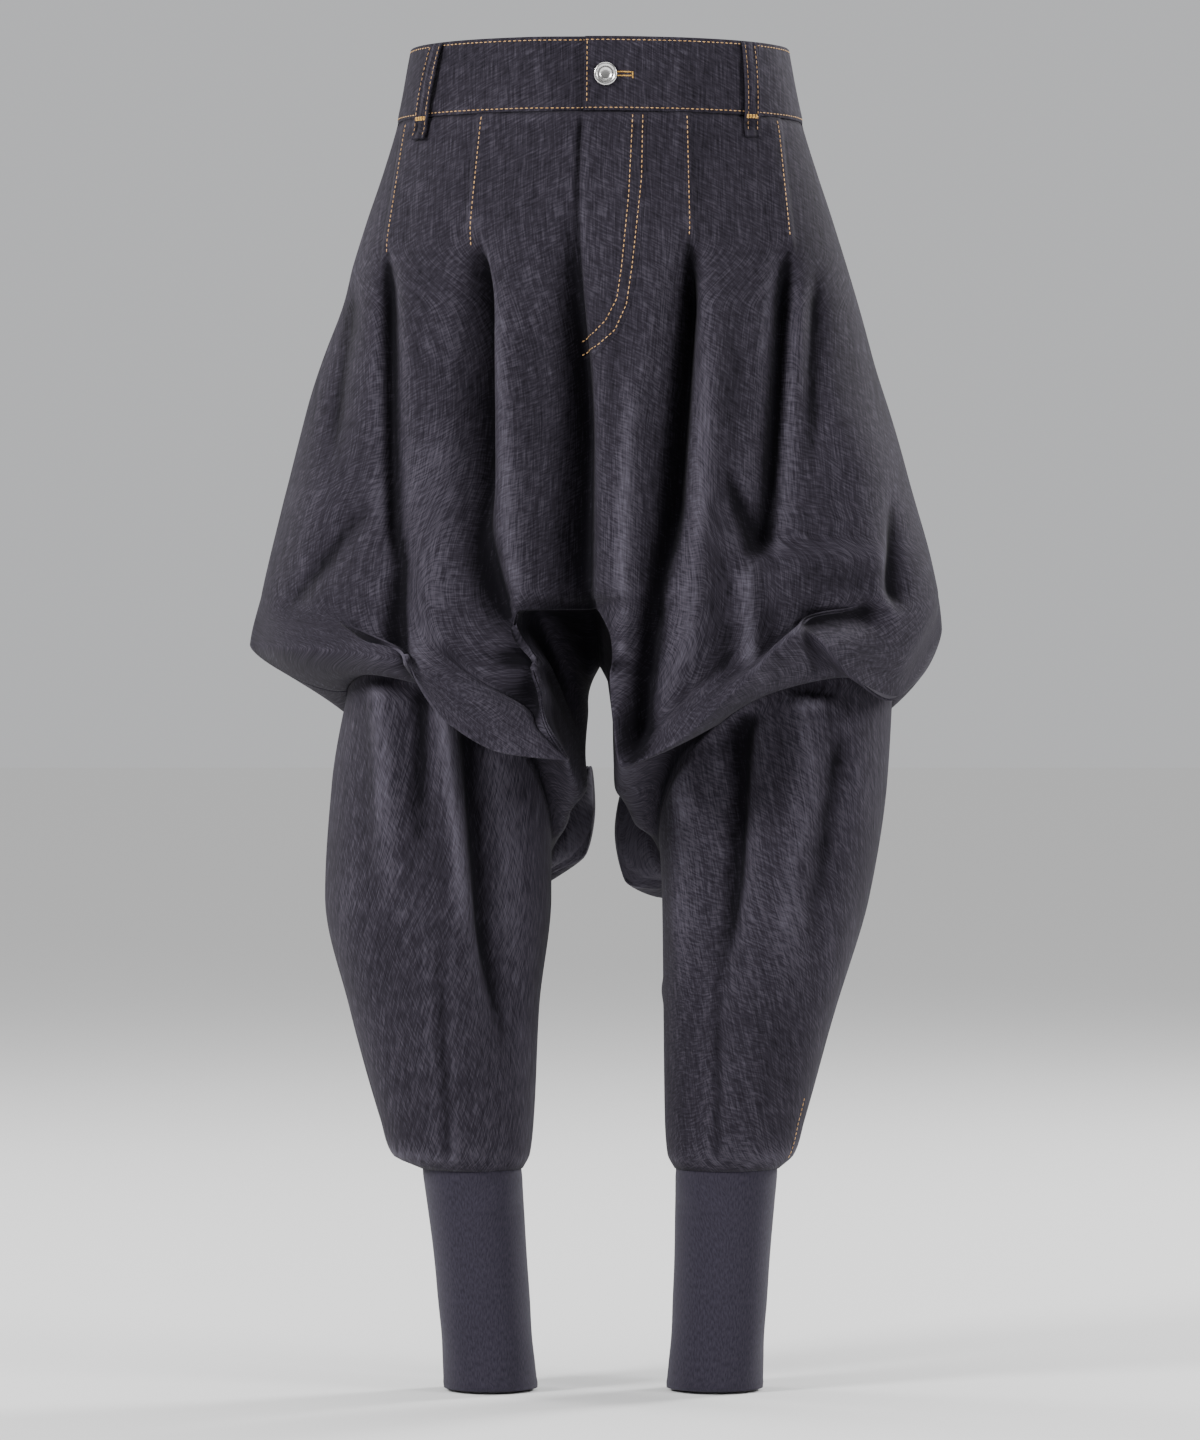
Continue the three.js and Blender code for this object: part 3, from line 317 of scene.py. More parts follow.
def drape(u, v, panel):
    """A body panel: v is 0 at the waist seam, 1 at the drape's edge, 2 where it meets the leg."""
    side, folds = panel["side"], panel["folds"]
    deg = panel["deg"](u)
    edge = at(panel["x"](u), panel["y"](u), panel["z"](u))
    hang = np.maximum(HANG, edge[..., 2] + 18)
    upper = panel["form"](deg, mix(WAIST_SEAM, hang, np.clip(v / HANG_V, 0, 1)))
    start = body_point(deg, hang)
    flow = unit(start - body_point(deg, hang + 12))
    sweep = edge - start
    long = np.linalg.norm(sweep, axis=-1)
    down = ease(panel["tip"], panel["tip"] + 0.08, u)
    end = unit(unit(sweep) + at(0, 0, -1.3 * down))
    level = panel["level"](u)
    rise = mix(-0.12, panel["rise"], ease(0.42, 0.5, u) * ease(0.62, 0.56, u))
    end = unit(end + times(unit(at(-side, -0.1, rise)) - end, level))
    near = start + times(flow, long * mix(0.33, 0.5, level))
    far = edge - times(end, long * mix(0.33, 0.4, level))
    t = np.clip((v - HANG_V) / (1 - HANG_V), 0, 1)
    p = bezier(start, near, far, edge, t)
    push, slip = fold_moves(folds, p[..., 0], p[..., 2])
    beside = fold_depth(FRONT_FOLDS, p[..., 0], p[..., 2])
    waves = soft_waves(p[..., 0], p[..., 2], WASHED) * off_seams(deg)
    push = mix(beside, push, ease(1, 0.9, u)) + waves
    p = p + times(body_out(deg, HANG), push) + times(body_along(deg, HANG), slip * ease(1, 0.9, u))
    aside = side * 100 * np.minimum(u, 0.1) - p[..., 0] * ease(0, 0.1, u)
    inward = unit(at(aside, -p[..., 1], 0))
    folded = ease(panel["fold_from"], panel["fold_from"] + 0.18, u)
    short = p + times(inward, TURNED_UP * folded) + times(end, mix(4, 1, folded))
    round_leg = np.clip((u - panel["join"]) / (1 - panel["join"]), 0, 1) ** panel["pace"]
    turn = mix(panel["turn"], 90, round_leg)
    under = ease(panel["tip"], panel["join"], u)
    last = short + times(rim_point(side, turn) - short, under)
    first = p + times(end, mix(1 + 3 * folded, 9, under))
    before = last - times(inward, 5 * folded * (1 - under))
    before = before - times(end, 1.3 * (1 - folded) * (1 - under))
    before = before + times(leg_out(side, turn), 22 * under) + at(0, 0, -5 * under)
    below = bezier(p, first, before, last, np.clip(v - 1, 0, 1))
    return np.where((v > 1)[..., None], below, np.where((v > HANG_V)[..., None], p, upper))


def mesh_of(name, bm):
    mesh = bpy.data.meshes.new(name)
    bm.to_mesh(mesh)
    bm.free()
    return mesh


def put(name, data):
    thing = bpy.data.objects.new(name, data)
    bpy.context.scene.collection.objects.link(thing)
    return thing


def lay_cloth(name, form, grid, thick, turned=False, tube=False, smooth=0, edge=0.0):
    """A grid of cloth laid on a form and given its thickness, with a UV in metres of cloth."""
    across, down = grid
    u, v = np.meshgrid(np.linspace(0, 1, across + 1), np.linspace(0, 1, down + 1))
    p = form(u, v)
    for _ in range(smooth):
        around = (p[:-2, 1:-1] + p[2:, 1:-1] + p[1:-1, :-2] + p[1:-1, 2:]) / 4
        p[1:-1, 1:-1] = mix(p[1:-1, 1:-1], around, 0.5)
    bm = bmesh.new()
    bmesh.ops.create_grid(bm, x_segments=across, y_segments=down, size=0.5)
    if turned:
        bmesh.ops.reverse_faces(bm, faces=bm.faces)
    mesh = mesh_of(name, bm)
    spot = np.empty(len(mesh.vertices) * 3)
    mesh.vertices.foreach_get("co", spot)
    spot = spot.reshape(-1, 3)
    col, row = (np.rint((spot[:, k] + 0.5) * n).astype(int) for k, n in enumerate(grid))
    mesh.vertices.foreach_set("co", (p[row, col] * MM).ravel())
    steps = [np.linalg.norm(np.diff(p, axis=k), axis=2) for k in (0, 1)]
    length = np.pad(np.cumsum(steps[0], axis=0), ((1, 0), (0, 0)))
    width = np.pad(np.cumsum(steps[1], axis=1), ((0, 0), (1, 0)))
    lies = np.empty(len(mesh.loops), int)
    mesh.loops.foreach_get("vertex_index", lies)
    uv = np.stack([width[row, col][lies], length[row, col][lies]], -1) * MM
    mesh.uv_layers.new(name="cloth").data.foreach_set("uv", uv.ravel())
    # A point attribute that the denim reads: crown wear and painted highlight on ridges, and
    # painted shade in creases and fold hollows.
    crown_wear_and_painted_shade = mesh.attributes.new("crown_wear_and_painted_shade", "FLOAT", "POINT")
    crown_wear_and_painted_shade.data.foreach_set("value", crown_wear_and_painted_shade_of(p, turned)[row, col].astype(np.float32))
    if tube:
        bm = bmesh.new()
        bm.from_mesh(mesh)
        bmesh.ops.remove_doubles(bm, verts=bm.verts, dist=1e-5)
        bmesh.ops.recalc_face_normals(bm, faces=bm.faces)
        bm.to_mesh(mesh)
        bm.free()
    mesh.shade_smooth()
    piece = put(name, mesh)
    wall = piece.modifiers.new("thickness", "SOLIDIFY")
    wall.thickness = thick * MM
    wall.offset = -1
    if edge:
        rounding = piece.modifiers.new("turned edge", "BEVEL")
        rounding.width = edge * MM
        rounding.segments = 3
        rounding.limit_method = "ANGLE"
        rounding.angle_limit = math.radians(50)
    return piece


# Reaches in grid steps: the three wider ones give the painted shade in fold hollows, and the narrow
# one gives the crowns' wear and painted highlight.
PAINTED_SHADE_REACHES = (7, 11, 15)
CROWN_REACH = 3


def crown_wear_and_painted_shade_of(p, turned):
    """How far each place stands above the cloth around it: crowns are paler, partly as wear and
    partly as painted highlight, and creases and fold hollows are darker as painted shade.
    """
    across, along = np.gradient(p, axis=1), np.gradient(p, axis=0)
    facing = unit(np.cross(across, along)) * (-1 if turned else 1)

    def stands(reach):
        rim, core = (reach, reach), slice(reach, -reach)
        far = np.pad(p, (rim, rim, (0, 0)), mode="reflect", reflect_type="odd")
        mid = far[core, core]
        around = far[: -2 * reach, core] + far[2 * reach :, core]
        around = around + far[core, : -2 * reach] + far[core, 2 * reach :]
        return np.sum((mid - around / 4) * facing, axis=-1)

    # Painted shade: places sunk below the cloth around them are darkened, standing in for the
    # shadow inside folds.
    painted_hollow_shade = sum(np.clip(stands(reach) / (reach * 0.55), -1, 0) for reach in PAINTED_SHADE_REACHES)
    # Crowns paler and small creases darker: partly wear, partly painted highlight and painted
    # shade.
    crown_wear_and_painted_shade = 0.6 * stands(CROWN_REACH) / 1.6
    return np.clip(crown_wear_and_painted_shade + painted_hollow_shade / len(PAINTED_SHADE_REACHES), -1, 1)


def new_material(name):
    material = bpy.data.materials.new(name)
    material.use_nodes = True
    return material, material.node_tree.nodes, material.node_tree.links


def set_values(node, values):
    for name, value in values.items():
        node.inputs[name].default_value = value


def noise_on(nodes, links, vector, scale, detail):
    noise = nodes.new("ShaderNodeTexNoise")
    set_values(noise, {"Scale": scale, "Detail": detail})
    links.new(vector, noise.inputs["Vector"])
    return noise


def on_object(nodes):
    return nodes.new("ShaderNodeTexCoord").outputs["Object"]


def on_cloth(nodes):
    cloth = nodes.new("ShaderNodeUVMap")
    cloth.uv_map = "cloth"
    return cloth.outputs["UV"]


def stretch(nodes, links, vector, name, values):
    mapping = nodes.new("ShaderNodeMapping")
    mapping.inputs[name].default_value = values
    links.new(vector, mapping.inputs["Vector"])
    return mapping.outputs["Vector"]


def colour_by(nodes, links, factor, *stops):
    """The piece's colour, read off a ramp: the first two stops are its ends."""
    shade = nodes.new("ShaderNodeValToRGB")
    ramp = shade.color_ramp.elements
    for i, (position, colour) in enumerate(stops):
        stop = ramp[i] if i < 2 else ramp.new(position)
        stop.position = position
        stop.color = (*colour, 1)
    links.new(factor, shade.inputs["Fac"])
    links.new(shade.outputs["Color"], nodes["Principled BSDF"].inputs["Base Color"])


def bump_by(nodes, links, height, strength, distance):
    bump = nodes.new("ShaderNodeBump")
    set_values(bump, {"Strength": strength, "Distance": distance})
    links.new(height, bump.inputs["Height"])
    links.new(bump.outputs["Normal"], nodes["Principled BSDF"].inputs["Normal"])


DENIM_COLOURS = [
    (0.18, (0.0045, 0.004, 0.006)),
    (0.92, (0.085, 0.077, 0.099)),
    (0.52, (0.0242, 0.0209, 0.0292)),
]
DENIM_SHINE = {
    "Roughness": 0.8,
    "Specular IOR Level": 0.06,
    "Sheen Weight": 0.02,
    "Sheen Roughness": 0.45,
}


def denim(name, lean, pale=1.0):
    """Dark raw denim: indigo-black warp over grey weft, with slubs, a twill line that leans, and
    painted shade in its folds.
    """
    material, nodes, links = new_material(name)
    cloth = on_cloth(nodes)

    def streaks(turn, across, along):
        lay = stretch(nodes, links, cloth, "Rotation", (0, 0, math.radians(turn)))
        pull = stretch(nodes, links, lay, "Scale", (across, along, 1))
        noise = noise_on(nodes, links, pull, 1, 2)
        noise.inputs["Roughness"].default_value = 0.6
        return noise.outputs["Fac"]

    def weigh(value, share, plus):
        node = nodes.new("ShaderNodeMath")
        node.operation = "MULTIPLY_ADD"
        node.inputs[1].default_value = share
        links.new(value, node.inputs[0])
        if isinstance(plus, float):
            node.inputs[2].default_value = plus
        else:
            links.new(plus, node.inputs[2])
        return node.outputs["Value"]

    warp = streaks(0, 950, 60)
    slub = streaks(0, 270, 8)
    twill = streaks(lean, 760, 90)
    wash = noise_on(nodes, links, on_object(nodes), 11, 4)
    # Painted shade and painted highlight: the attribute darkens creases and fold hollows and pales
    # the crowns, with the crowns partly real wear.
    crown_wear_and_painted_shade = nodes.new("ShaderNodeAttribute")
    crown_wear_and_painted_shade.attribute_name = "crown_wear_and_painted_shade"
    tone = weigh(warp, 0.66, -0.46)
    tone = weigh(slub, 0.3, tone)
    tone = weigh(twill, 0.66, tone)
    tone = weigh(wash.outputs["Fac"], 0.26, tone)
    tone = weigh(crown_wear_and_painted_shade.outputs["Fac"], 0.34, tone)
    stops = [(position, [c * pale for c in colour]) for position, colour in DENIM_COLOURS]
    colour_by(nodes, links, tone, *stops)
    height = weigh(warp, 0.5, weigh(twill, 0.7, weigh(slub, 0.4, 0.0)))
    bump_by(nodes, links, height, 0.3, 0.00014)
    set_values(nodes["Principled BSDF"], DENIM_SHINE)
    return material


body_denim = denim("body denim", 64)


def finish_piece(piece, node, material):
    piece.data.materials.append(material)
    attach(piece, "root")
    if node:
        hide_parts(node)
    return piece


def panel_of(side, edge, **rest):
    return {"side": side, **lines_of(edge, "u", ("deg", "x", "y", "z")), **rest}


def front_level(u):
    return 0 * u


def panel_rows(v):
    """Rows lie closest on the folds of the drape."""
    return np.interp(v, (0, 0.6, 0.82, 1), (0, HANG_V, 1, 2))


def lay_panel(name, panel, grid, turned, smooth):
    def form(u, v):
        return drape(u, panel_rows(v), panel)

    return lay_cloth("panel_" + name, form, grid, DENIM_THICK, turned=turned, smooth=smooth)


FRONT = {
    "folds": FRONT_FOLDS,
    "form": front_form,
    "level": front_level,
    "tip": 0.3,
    "join": 0.4,
    "turn": -30,
    "pace": 1,
    "fold_from": -1,
    "rise": 0,
}
front_panels = {
    "front_left": panel_of(1, FRONT_LEFT_EDGE, **FRONT),
    "front_right": panel_of(-1, FRONT_RIGHT_EDGE, **FRONT),
}
for name, panel in front_panels.items():
    piece = lay_panel(name, panel, FRONT_GRID, panel["side"] > 0, 2)
    finish_piece(piece, name, body_denim)

# Back body panels
# Two panels of the same denim, gathered on elastic at the waist. They fall in deep folds past
# the pockets, and their lower corners are swept up behind the knees to the middle seam.
BACK_LEFT_EDGE = {
    "u": (0, 0.12, 0.2, 0.28, 0.32, 0.36, 0.44, 0.52, 0.56, 0.6, 0.64, 0.74, 0.84, 0.92, 1),
    "deg": (176.9, 164, 154, 144.5, 141.5, 139.5, 137, 135, 134, 132.5, 130, 121, 110, 100, 90),
    "x": (14, 66, 108, 142, 128, 104, 56, 21, 13, 23, 50, 112, 156, 202, 254),
    "y": (146, 148, 148, 144, 118, 122, 110, 96, 84, 78, 94, 108, 102, 76, 4),
    "z": (-342, -351, -364, -412, -444, -476, -502, -516, -552, -590, -600, -562, -514, -462, -400),
}
BACK_RIGHT_EDGE = {
    "u": (0, 0.12, 0.2, 0.28, 0.32, 0.36, 0.44, 0.52, 0.56, 0.6, 0.64, 0.74, 0.84, 0.92, 1),
    "deg": (176.9, 184, 191.5, 201, 204, 206, 209, 212, 214, 217, 221, 234, 248, 259, 270),
    "x": (14, -14, -44, -85, -80, -68, -44, -8, -5, -13, -42, -80, -128, -188, -260),
    "y": (146, 148, 148, 144, 118, 118, 112, 99, 88, 80, 94, 108, 102, 76, 4),
    "z": (-342, -362, -382, -426, -456, -490, -516, -504, -534, -570, -581, -542, -498, -450, -412),
}
BACK_FOLDS = [
    (166, -112, 160, -470, 13, 20, -44, 110, 60, -0.55),
    (-124, -104, -110, -480, 12, 19, -44, 110, 60, 0.55),
    (11, -50, 14, -372, 5, 6, -5, 60, 1, 0),
    (52, -300, 112, -372, 14, 16, -8, 40, 20, 0),
    (-34, -290, -60, -400, 14, 14, -8, 50, 20, 0),
    (100, -250, 124, -400, 14, 16, 6, 60, 30, 0),
    (-70, -270, -84, -410, 12, 12, 6, 60, 30, 0),
    (206, -180, 196, -420, 26, 26, 9, 90, 80, 0),
    (-206, -180, -200, -420, 26, 26, 9, 90, 80, 0),
    (186, -420, 60, -560, 22, 20, 8, 60, 60, 0),
    (-180, -420, -50, -540, 22, 20, 8, 60, 60, 0),
    (-196, -120, -188, -260, 9, 9, -8, 50, 60, 0.3),
    (192, -110, 206, -300, 8, 10, -7, 60, 90, -0.3),
    (150, -560, 60, -592, 7, 6, -5, 30, 30, 0),
    (-140, -540, -56, -570, 7, 6, -5, 30, 30, 0),
]
BACK_GRID = (196, 196)
SIDE_MEET = 14.0
GATHERS = 30
GATHER_DEEP = 6.6


def gather_phase(deg):
    t = np.clip((deg - 92) / 176, 0, 1)
    return t, t * GATHERS + 0.32 * np.sin(t * 21) + 0.2 * np.sin(t * 47 + 1)


def gathers(deg, z):
    """Rounded ridges with tight creases between them, each running down its own length."""
    t, phase = gather_phase(deg)
    crease = 1 - np.abs(np.cos(np.pi * phase)) ** 0.75
    own = 0.5 + 0.5 * np.sin(np.floor(phase) * 12.9898)
    low = mix(-84, -176, own**1.6)
    uneven = 0.74 + 0.26 * np.sin(np.floor(phase) * 7.31 + 2)
    sides = ease(0, 0.04, t) * ease(1, 0.96, t)
    fade = ease(low, WAIST_SEAM, z) ** 1.1
    return -GATHER_DEEP * crease * uneven * sides * fade


def back_form(deg, z):
    p = body_point(deg, z)
    push, slip = fold_moves(BACK_FOLDS, p[..., 0], z)
    meet = ease(0, SIDE_MEET, np.abs(deg - 90)) * ease(0, SIDE_MEET, np.abs(deg - 270))
    depth = mix(fold_depth(FRONT_FOLDS, p[..., 0], z), push, meet)
    depth = depth + soft_waves(p[..., 0], z, 0.8) * off_seams(deg)
    held = mix(0.55, 1, ease(WAIST_SEAM, WAIST_SEAM - 12, z))
    depth = depth * ease(WAIST_SEAM, WAIST_SEAM - 14, z) + gathers(deg, z) * held
    return p + times(body_out(deg, z), depth) + times(body_along(deg, z), slip * meet)


def back_level(u):
    return ease(0.3, 0.38, u) * ease(0.68, 0.5, u)


BACK = {
    "folds": BACK_FOLDS,
    "form": back_form,
    "level": back_level,
    "tip": 0.6,
    "join": 0.64,
    "turn": 230,
    "pace": 1.28,
    "fold_from": 0.1,
}
back_panels = {
    "back_left": panel_of(1, BACK_LEFT_EDGE, rise=-0.12, **BACK),
    "back_right": panel_of(-1, BACK_RIGHT_EDGE, rise=0.9, **BACK),
}
for name, panel in back_panels.items():
    piece = lay_panel(name, panel, BACK_GRID, panel["side"] < 0, 1)
    finish_piece(piece, name, body_denim)

# Gusset
# One piece of denim set between the legs from the front notch to the middle of the back, so
# that the crotch hangs low. Behind, it sags in scallops below its curved seam.
GUSSET = {
    "across": (0, 0.14, 0.4, 0.68, 0.86, 1),
    "x": (0, 8, 10, 11, 17, 26),
    "z": (-428, -446, -484, -530, -566, -572),
}
SCALLOP = {"across": (0, 0.06, 0.13, 0.2, 0.27, 1), "drop": (16, 26, 44, 24, 0, 0)}
GUSSET_GRID = (90, 120)
GUSSET_GAP = 0.3
COWL_DEEP = 9.0
gusset_x, gusset_z = lines_of(GUSSET, "across", ("x", "z")).values()
scallop = smooth_line(SCALLOP, "across", "drop")


def gusset_form(along, across):
    p = np.empty((*along.shape, 3))
    for row in range(along.shape[0]):
        p[row] = gusset_row(along[row], float(across[row, 0]) * 2 - 1)
    return p


def gusset_row(along, across):
    side, q = (-1, -across) if across < 0 else (1, across)
    front = front_panels["front_left" if side > 0 else "front_right"]
    back = back_panels["back_left" if side > 0 else "back_right"]
    sewn = [drape(np.array([q * s["join"]] * 2), np.array([2.0, 1.85]), s) for s in (front, back)]
    a, e = sewn[0][0], sewn[1][0]
    a_in, e_in = unit(a - sewn[0][1]), unit(e - sewn[1][1])
    a, e = a + a_in * GUSSET_GAP, e + e_in * GUSSET_GAP
    c = at(side * gusset_x(q), 0, gusset_z(q))
    drop = float(scallop(q))
    hem = e + at(0, -4, -drop)
    low = hem + at(0, -9, 2) + e_in * 9 * (1 - min(1, drop / 12))
    if drop <= 6:
        low[2] -= 10 * float(ease(0.28, 0.1, q * back["join"]))
    knots = [a, a + a_in * 12, c, low, e]
    if drop > 6:
        knots.insert(4, hem + at(0, 3, 4))
    knots = np.array(knots)
    long = np.concatenate([[0], np.cumsum(np.linalg.norm(np.diff(knots, axis=0), axis=1) ** 0.7)])
    table = {"s": long / long[-1], "x": knots[:, 0], "y": knots[:, 1], "z": knots[:, 2]}
    p = at(*(smooth_line(table, "s", n)(along) for n in "xyz"))
    turn = mix(front["turn"], back["turn"] - 360, along)
    rim = rim_point(side, np.where(turn < -90, turn + 360, turn))
    middle = ease(0, 0.2, along) * ease(1, 0.8, along)
    rim[:, 2] += 150 * (1 - q) * (middle > 0)
    share = mix(float(ease(0.9, 1, q)), float(ease(0.6, 1, q)), middle)
    ends = (along == 0) | (along == 1)
    share = np.where(ends, float(q == 1), share)
    p = p + times(rim - p, share)
    window = ease(0.42, 0.7, along) * ease(1, 0.9, along)
    window = window * float(ease(0.02, 0.1, q) * ease(0.95, 0.7, q))
    waves = 3.1 * q + 0.9 * along + (0.2 if side > 0 else 0)
    cowl = COWL_DEEP * np.sin(2 * np.pi * waves) * window
    return p + times(unit(at(0 * along - 0.35 * side, 0.5, -0.6)), cowl)


gusset = lay_cloth("gusset_piece", gusset_form, GUSSET_GRID, DENIM_THICK, smooth=1)
finish_piece(gusset, "gusset", body_denim)

# Lower legs
# Each is cut in a front and a back and tapered with darts to the cuff. The front halves are cut
# on the cross, so their twill line leans to the inside. Behind the knee they crumple in creases.
LEG_FOLDS = {
    "front_left": [
        (98, -430, 84, -690, 16, 13, -15, 1, 120, 0.4),
        (150, -450, 132, -700, 16, 14, 6, 1, 120, 0),
        (60, -480, 62, -700, 9, 9, 6, 20, 90, 0),
        (84, -620, 86, -796, 5, 4, -2.6, 90, 10, 0),
        (176, -470, 150, -640, 9, 11, -6, 30, 90, 0.3),
    ],
    "front_right": [
        (-92, -430, -64, -740, 15, 12, -15, 1, 130, -0.4),
        (-112, -450, -96, -640, 9, 9, 7, 1, 80, 0),
        (-158, -440, -150, -640, 10, 12, 7, 1, 120, 0),
        (-130, -440, -132, -580, 8, 9, -7, 1, 90, 0),
        (-118, -600, -112, -796, 5, 4, -2.6, 90, 10, 0),
    ],
    "back_left": [
        (36, -618, 108, -678, 10, 13, -9, 36, 40, 0),
        (34, -640, 100, -694, 12, 13, 6, 36, 40, 0),
        (88, -656, 116, -724, 12, 10, -9, 26, 34, 0),
        (172, -712, 52, -704, 9, 11, -10, 44, 50, 0),
        (168, -694, 56, -686, 12, 12, 6, 44, 50, 0),
        (164, -708, 98, -756, 10, 10, 5, 34, 34, 0),
        (156, -726, 104, -762, 8, 9, -5, 26, 30, 0),
        (108, -756, 50, -712, 10, 11, 5, 30, 30, 0),
        (160, -540, 138, -670, 18, 18, 6, 50, 60, 0),
        (126, -560, 118, -680, 15, 15, -5, 50, 60, 0),
    ],
    "back_right": [
        (-32, -606, -122, -624, 10, 12, -9, 30, 44, 0),
        (-102, -612, -172, -672, 12, 11, -9, 30, 44, 0),
        (-38, -628, -118, -644, 12, 12, 6, 30, 40, 0),
        (-104, -634, -162, -684, 12, 12, 6, 28, 38, 0),
        (-166, -662, -104, -710, 10, 11, -10, 34, 36, 0),
        (-158, -682, -110, -724, 9, 9, 5, 26, 30, 0),
        (-112, -686, -126, -738, 10, 9, -8, 22, 26, 0),
        (-64, -742, -126, -768, 9, 10, -6, 26, 32, 0),
        (-72, -758, -128, -782, 8, 8, 4, 26, 30, 0),
        (-160, -540, -150, -640, 20, 20, 6, 40, 50, 0),
        (-70, -640, -64, -740, 12, 12, -4, 40, 50, 0),
    ],
}
CUFF_SEAM = -800.0
LEG_GRID = (84, 120)
LEG_GAP = 1.5
LEG_BOW = 0.12
left_leg_denim, right_leg_denim = denim("left leg denim", 40), denim("right leg denim", -40)


def leg_form(side, face, low, high):
    folds = LEG_FOLDS[f"{face}_{'left' if side > 0 else 'right'}"]
    bow = LEG_BOW * side if face == "back" else 0.0

    def form(u, v):
        turn = mix(low, high, u)
        z = mix(rim_height(turn) + LEG_GAP, CUFF_SEAM, v)
        p = tube_point(side, leg_lines[side], turn, z)
        facing = np.abs(np.cos(np.radians(turn)))
        ends = ease(0, 0.05, v) * ease(1, 0.95, v) * ease(0, 0.35, facing)
        push, slip = fold_moves(folds, p[..., 0], z, bow)
        waves = soft_waves(p[..., 0], z, WASHED) * ease(1, 0.94, v) * ease(0, 0.2, facing)
        depth = push * ends + waves
        return p + times(leg_out(side, turn), depth) + at(slip * ends, 0, 0)

    return form


for side, leg, cloth in ((1, "left", left_leg_denim), (-1, "right", right_leg_denim)):
    for face, low, high, area in (("front", -90, 90, 0.086), ("back", 90, 270, 0.07)):
        form = leg_form(side, face, low, high)
        piece = lay_cloth(f"leg_panel_{face}_{leg}", form, LEG_GRID, DENIM_THICK, turned=side > 0)
        finish_piece(piece, f"leg_{face}_{leg}", cloth)

# Cuffs
# Long tubes of plain jersey, doubled over at the hem, that hold the trousers to the calf.
CUFF_HEM = -963.0
JERSEY_THICK = 1.6
JERSEY_EDGE = 0.5
CUFF_GRID = (96, 42)
CUFF_BOTH = {"z": (-800, -868, -963), "front": (43, 38, 35), "back": (49, 44, 41)}
CUFF = {
    1: {**CUFF_BOTH, "inner": (56, 55, 50), "outer": (132, 126, 120)},
    -1: {**CUFF_BOTH, "inner": (58, 54, 47), "outer": (132, 123, 115)},
}
JERSEY_SHINE = {
    "Roughness": 0.9,
    "Specular IOR Level": 0.15,
    "Sheen Weight": 0.08,
    "Sheen Roughness": 0.5,
}


def jersey():
    material, nodes, links = new_material("cuff jersey")
    lay = stretch(nodes, links, on_cloth(nodes), "Scale", (900, 260, 1))
    wales = noise_on(nodes, links, lay, 1, 3).outputs["Fac"]
    dark, light = (0.0178, 0.0152, 0.0245), (0.0366, 0.032, 0.0485)
    colour_by(nodes, links, wales, (0.3, dark), (0.72, light))
    bump_by(nodes, links, wales, 0.4, 0.0003)
    set_values(nodes["Principled BSDF"], JERSEY_SHINE)
    return material


cuff_jersey = jersey()
cuff_lines = {side: lines_of(table, "z", TUBE) for side, table in CUFF.items()}


def cuff_form(side):
    def form(u, v):
        turn, z = u * 360, mix(CUFF_SEAM + 1, CUFF_HEM, v)
        p = tube_point(side, cuff_lines[side], turn, z)
        ripple = 0.6 * np.sin(z / 13 + 2 * np.sin(np.radians(turn) * 2)) * ease(-870, -940, z)
        crush = 0.9 * np.sin(z / 5.5 + 4 * np.sin(np.radians(turn + 40))) * ease(-868, -812, z)
        crush = crush * (0.5 + 0.5 * np.cos(np.radians(turn * 2 + 30)))
        crush = crush * ease(CUFF_SEAM, CUFF_SEAM - 12, z)
        hem = 0.5 * np.exp(-(((z - CUFF_HEM - 3) / 3) ** 2))
        hem = hem - 0.4 * ease(CUFF_SEAM - 5, CUFF_SEAM, z)
        return p + times(leg_out(side, turn), ripple + crush + hem)

    return form


for side, leg in ((1, "left"), (-1, "right")):
    piece = lay_cloth(
        f"cuff_tube_{leg}",
        cuff_form(side),
        CUFF_GRID,
        JERSEY_THICK,
        turned=side > 0,
        tube=True,
        edge=JERSEY_EDGE,
    )
    finish_piece(piece, f"cuff_{leg}", cuff_jersey)

# Waistband
# A doubled band of denim, smooth in front and lapped left over right at the middle. Its back
# is run up on wide elastic in close puckers.
WAIST_TOP = 29.0
BAND_THICK = 3.0
BAND_PROUD = 0.9
BAND_EDGE = 0.8
FRONT_BAND_GRID = (120, 24)
BACK_BAND_GRID = (420, 17)
LAP_DEG = 9.0


def band_form(start, end, lapped=False):
    def form(u, v):
        deg = mix(start, end, u)
        t, phase = gather_phase(deg)
        behind = ease(0, 0.03, t) * ease(1, 0.97, t)
        bump = np.abs(np.cos(np.pi * phase)) ** 0.75
        top = WAIST_TOP + behind * mix(-2.2, 0.8, bump)
        z = mix(top, WAIST_SEAM + 0.1, v)
        uneven = 0.85 + 0.3 * np.sin(np.floor(phase) * 5.1)
        crease = -(1 - bump) * GATHER_DEEP * uneven * behind
        crease = crease * mix(1, 0.5, ease(0.72, 1, v)) * mix(0.75, 1, ease(0, 0.12, v))
        drop = (BAND_THICK + 0.5) * (1 - ease(4, 22, -deg)) if lapped else 0
        proud = BAND_PROUD - BAND_PROUD * np.exp(-(((v - 1) / 0.05) ** 2))
        proud = proud + soft_waves(deg * 2.4, z * 3, 0.25)
        return body_point(deg, z) + times(body_out(deg, z), proud - drop + crease)

    return form


BANDS = {
    "front_left": (band_form(-4.6, 90), FRONT_BAND_GRID, True, 0.21, "stretched"),
    "front_right": (band_form(LAP_DEG, -90, True), FRONT_BAND_GRID, False, 0.21, "stretched"),
    "back": (band_form(90, 270), BACK_BAND_GRID, True, 0.5, "gathered"),
}
bands = {}
for name, (form, grid, turned, long, held) in BANDS.items():
    piece = lay_cloth("band_" + name, form, grid, BAND_THICK, turned=turned, edge=BAND_EDGE)
    bands[name] = finish_piece(piece, "waistband_" + name, body_denim)

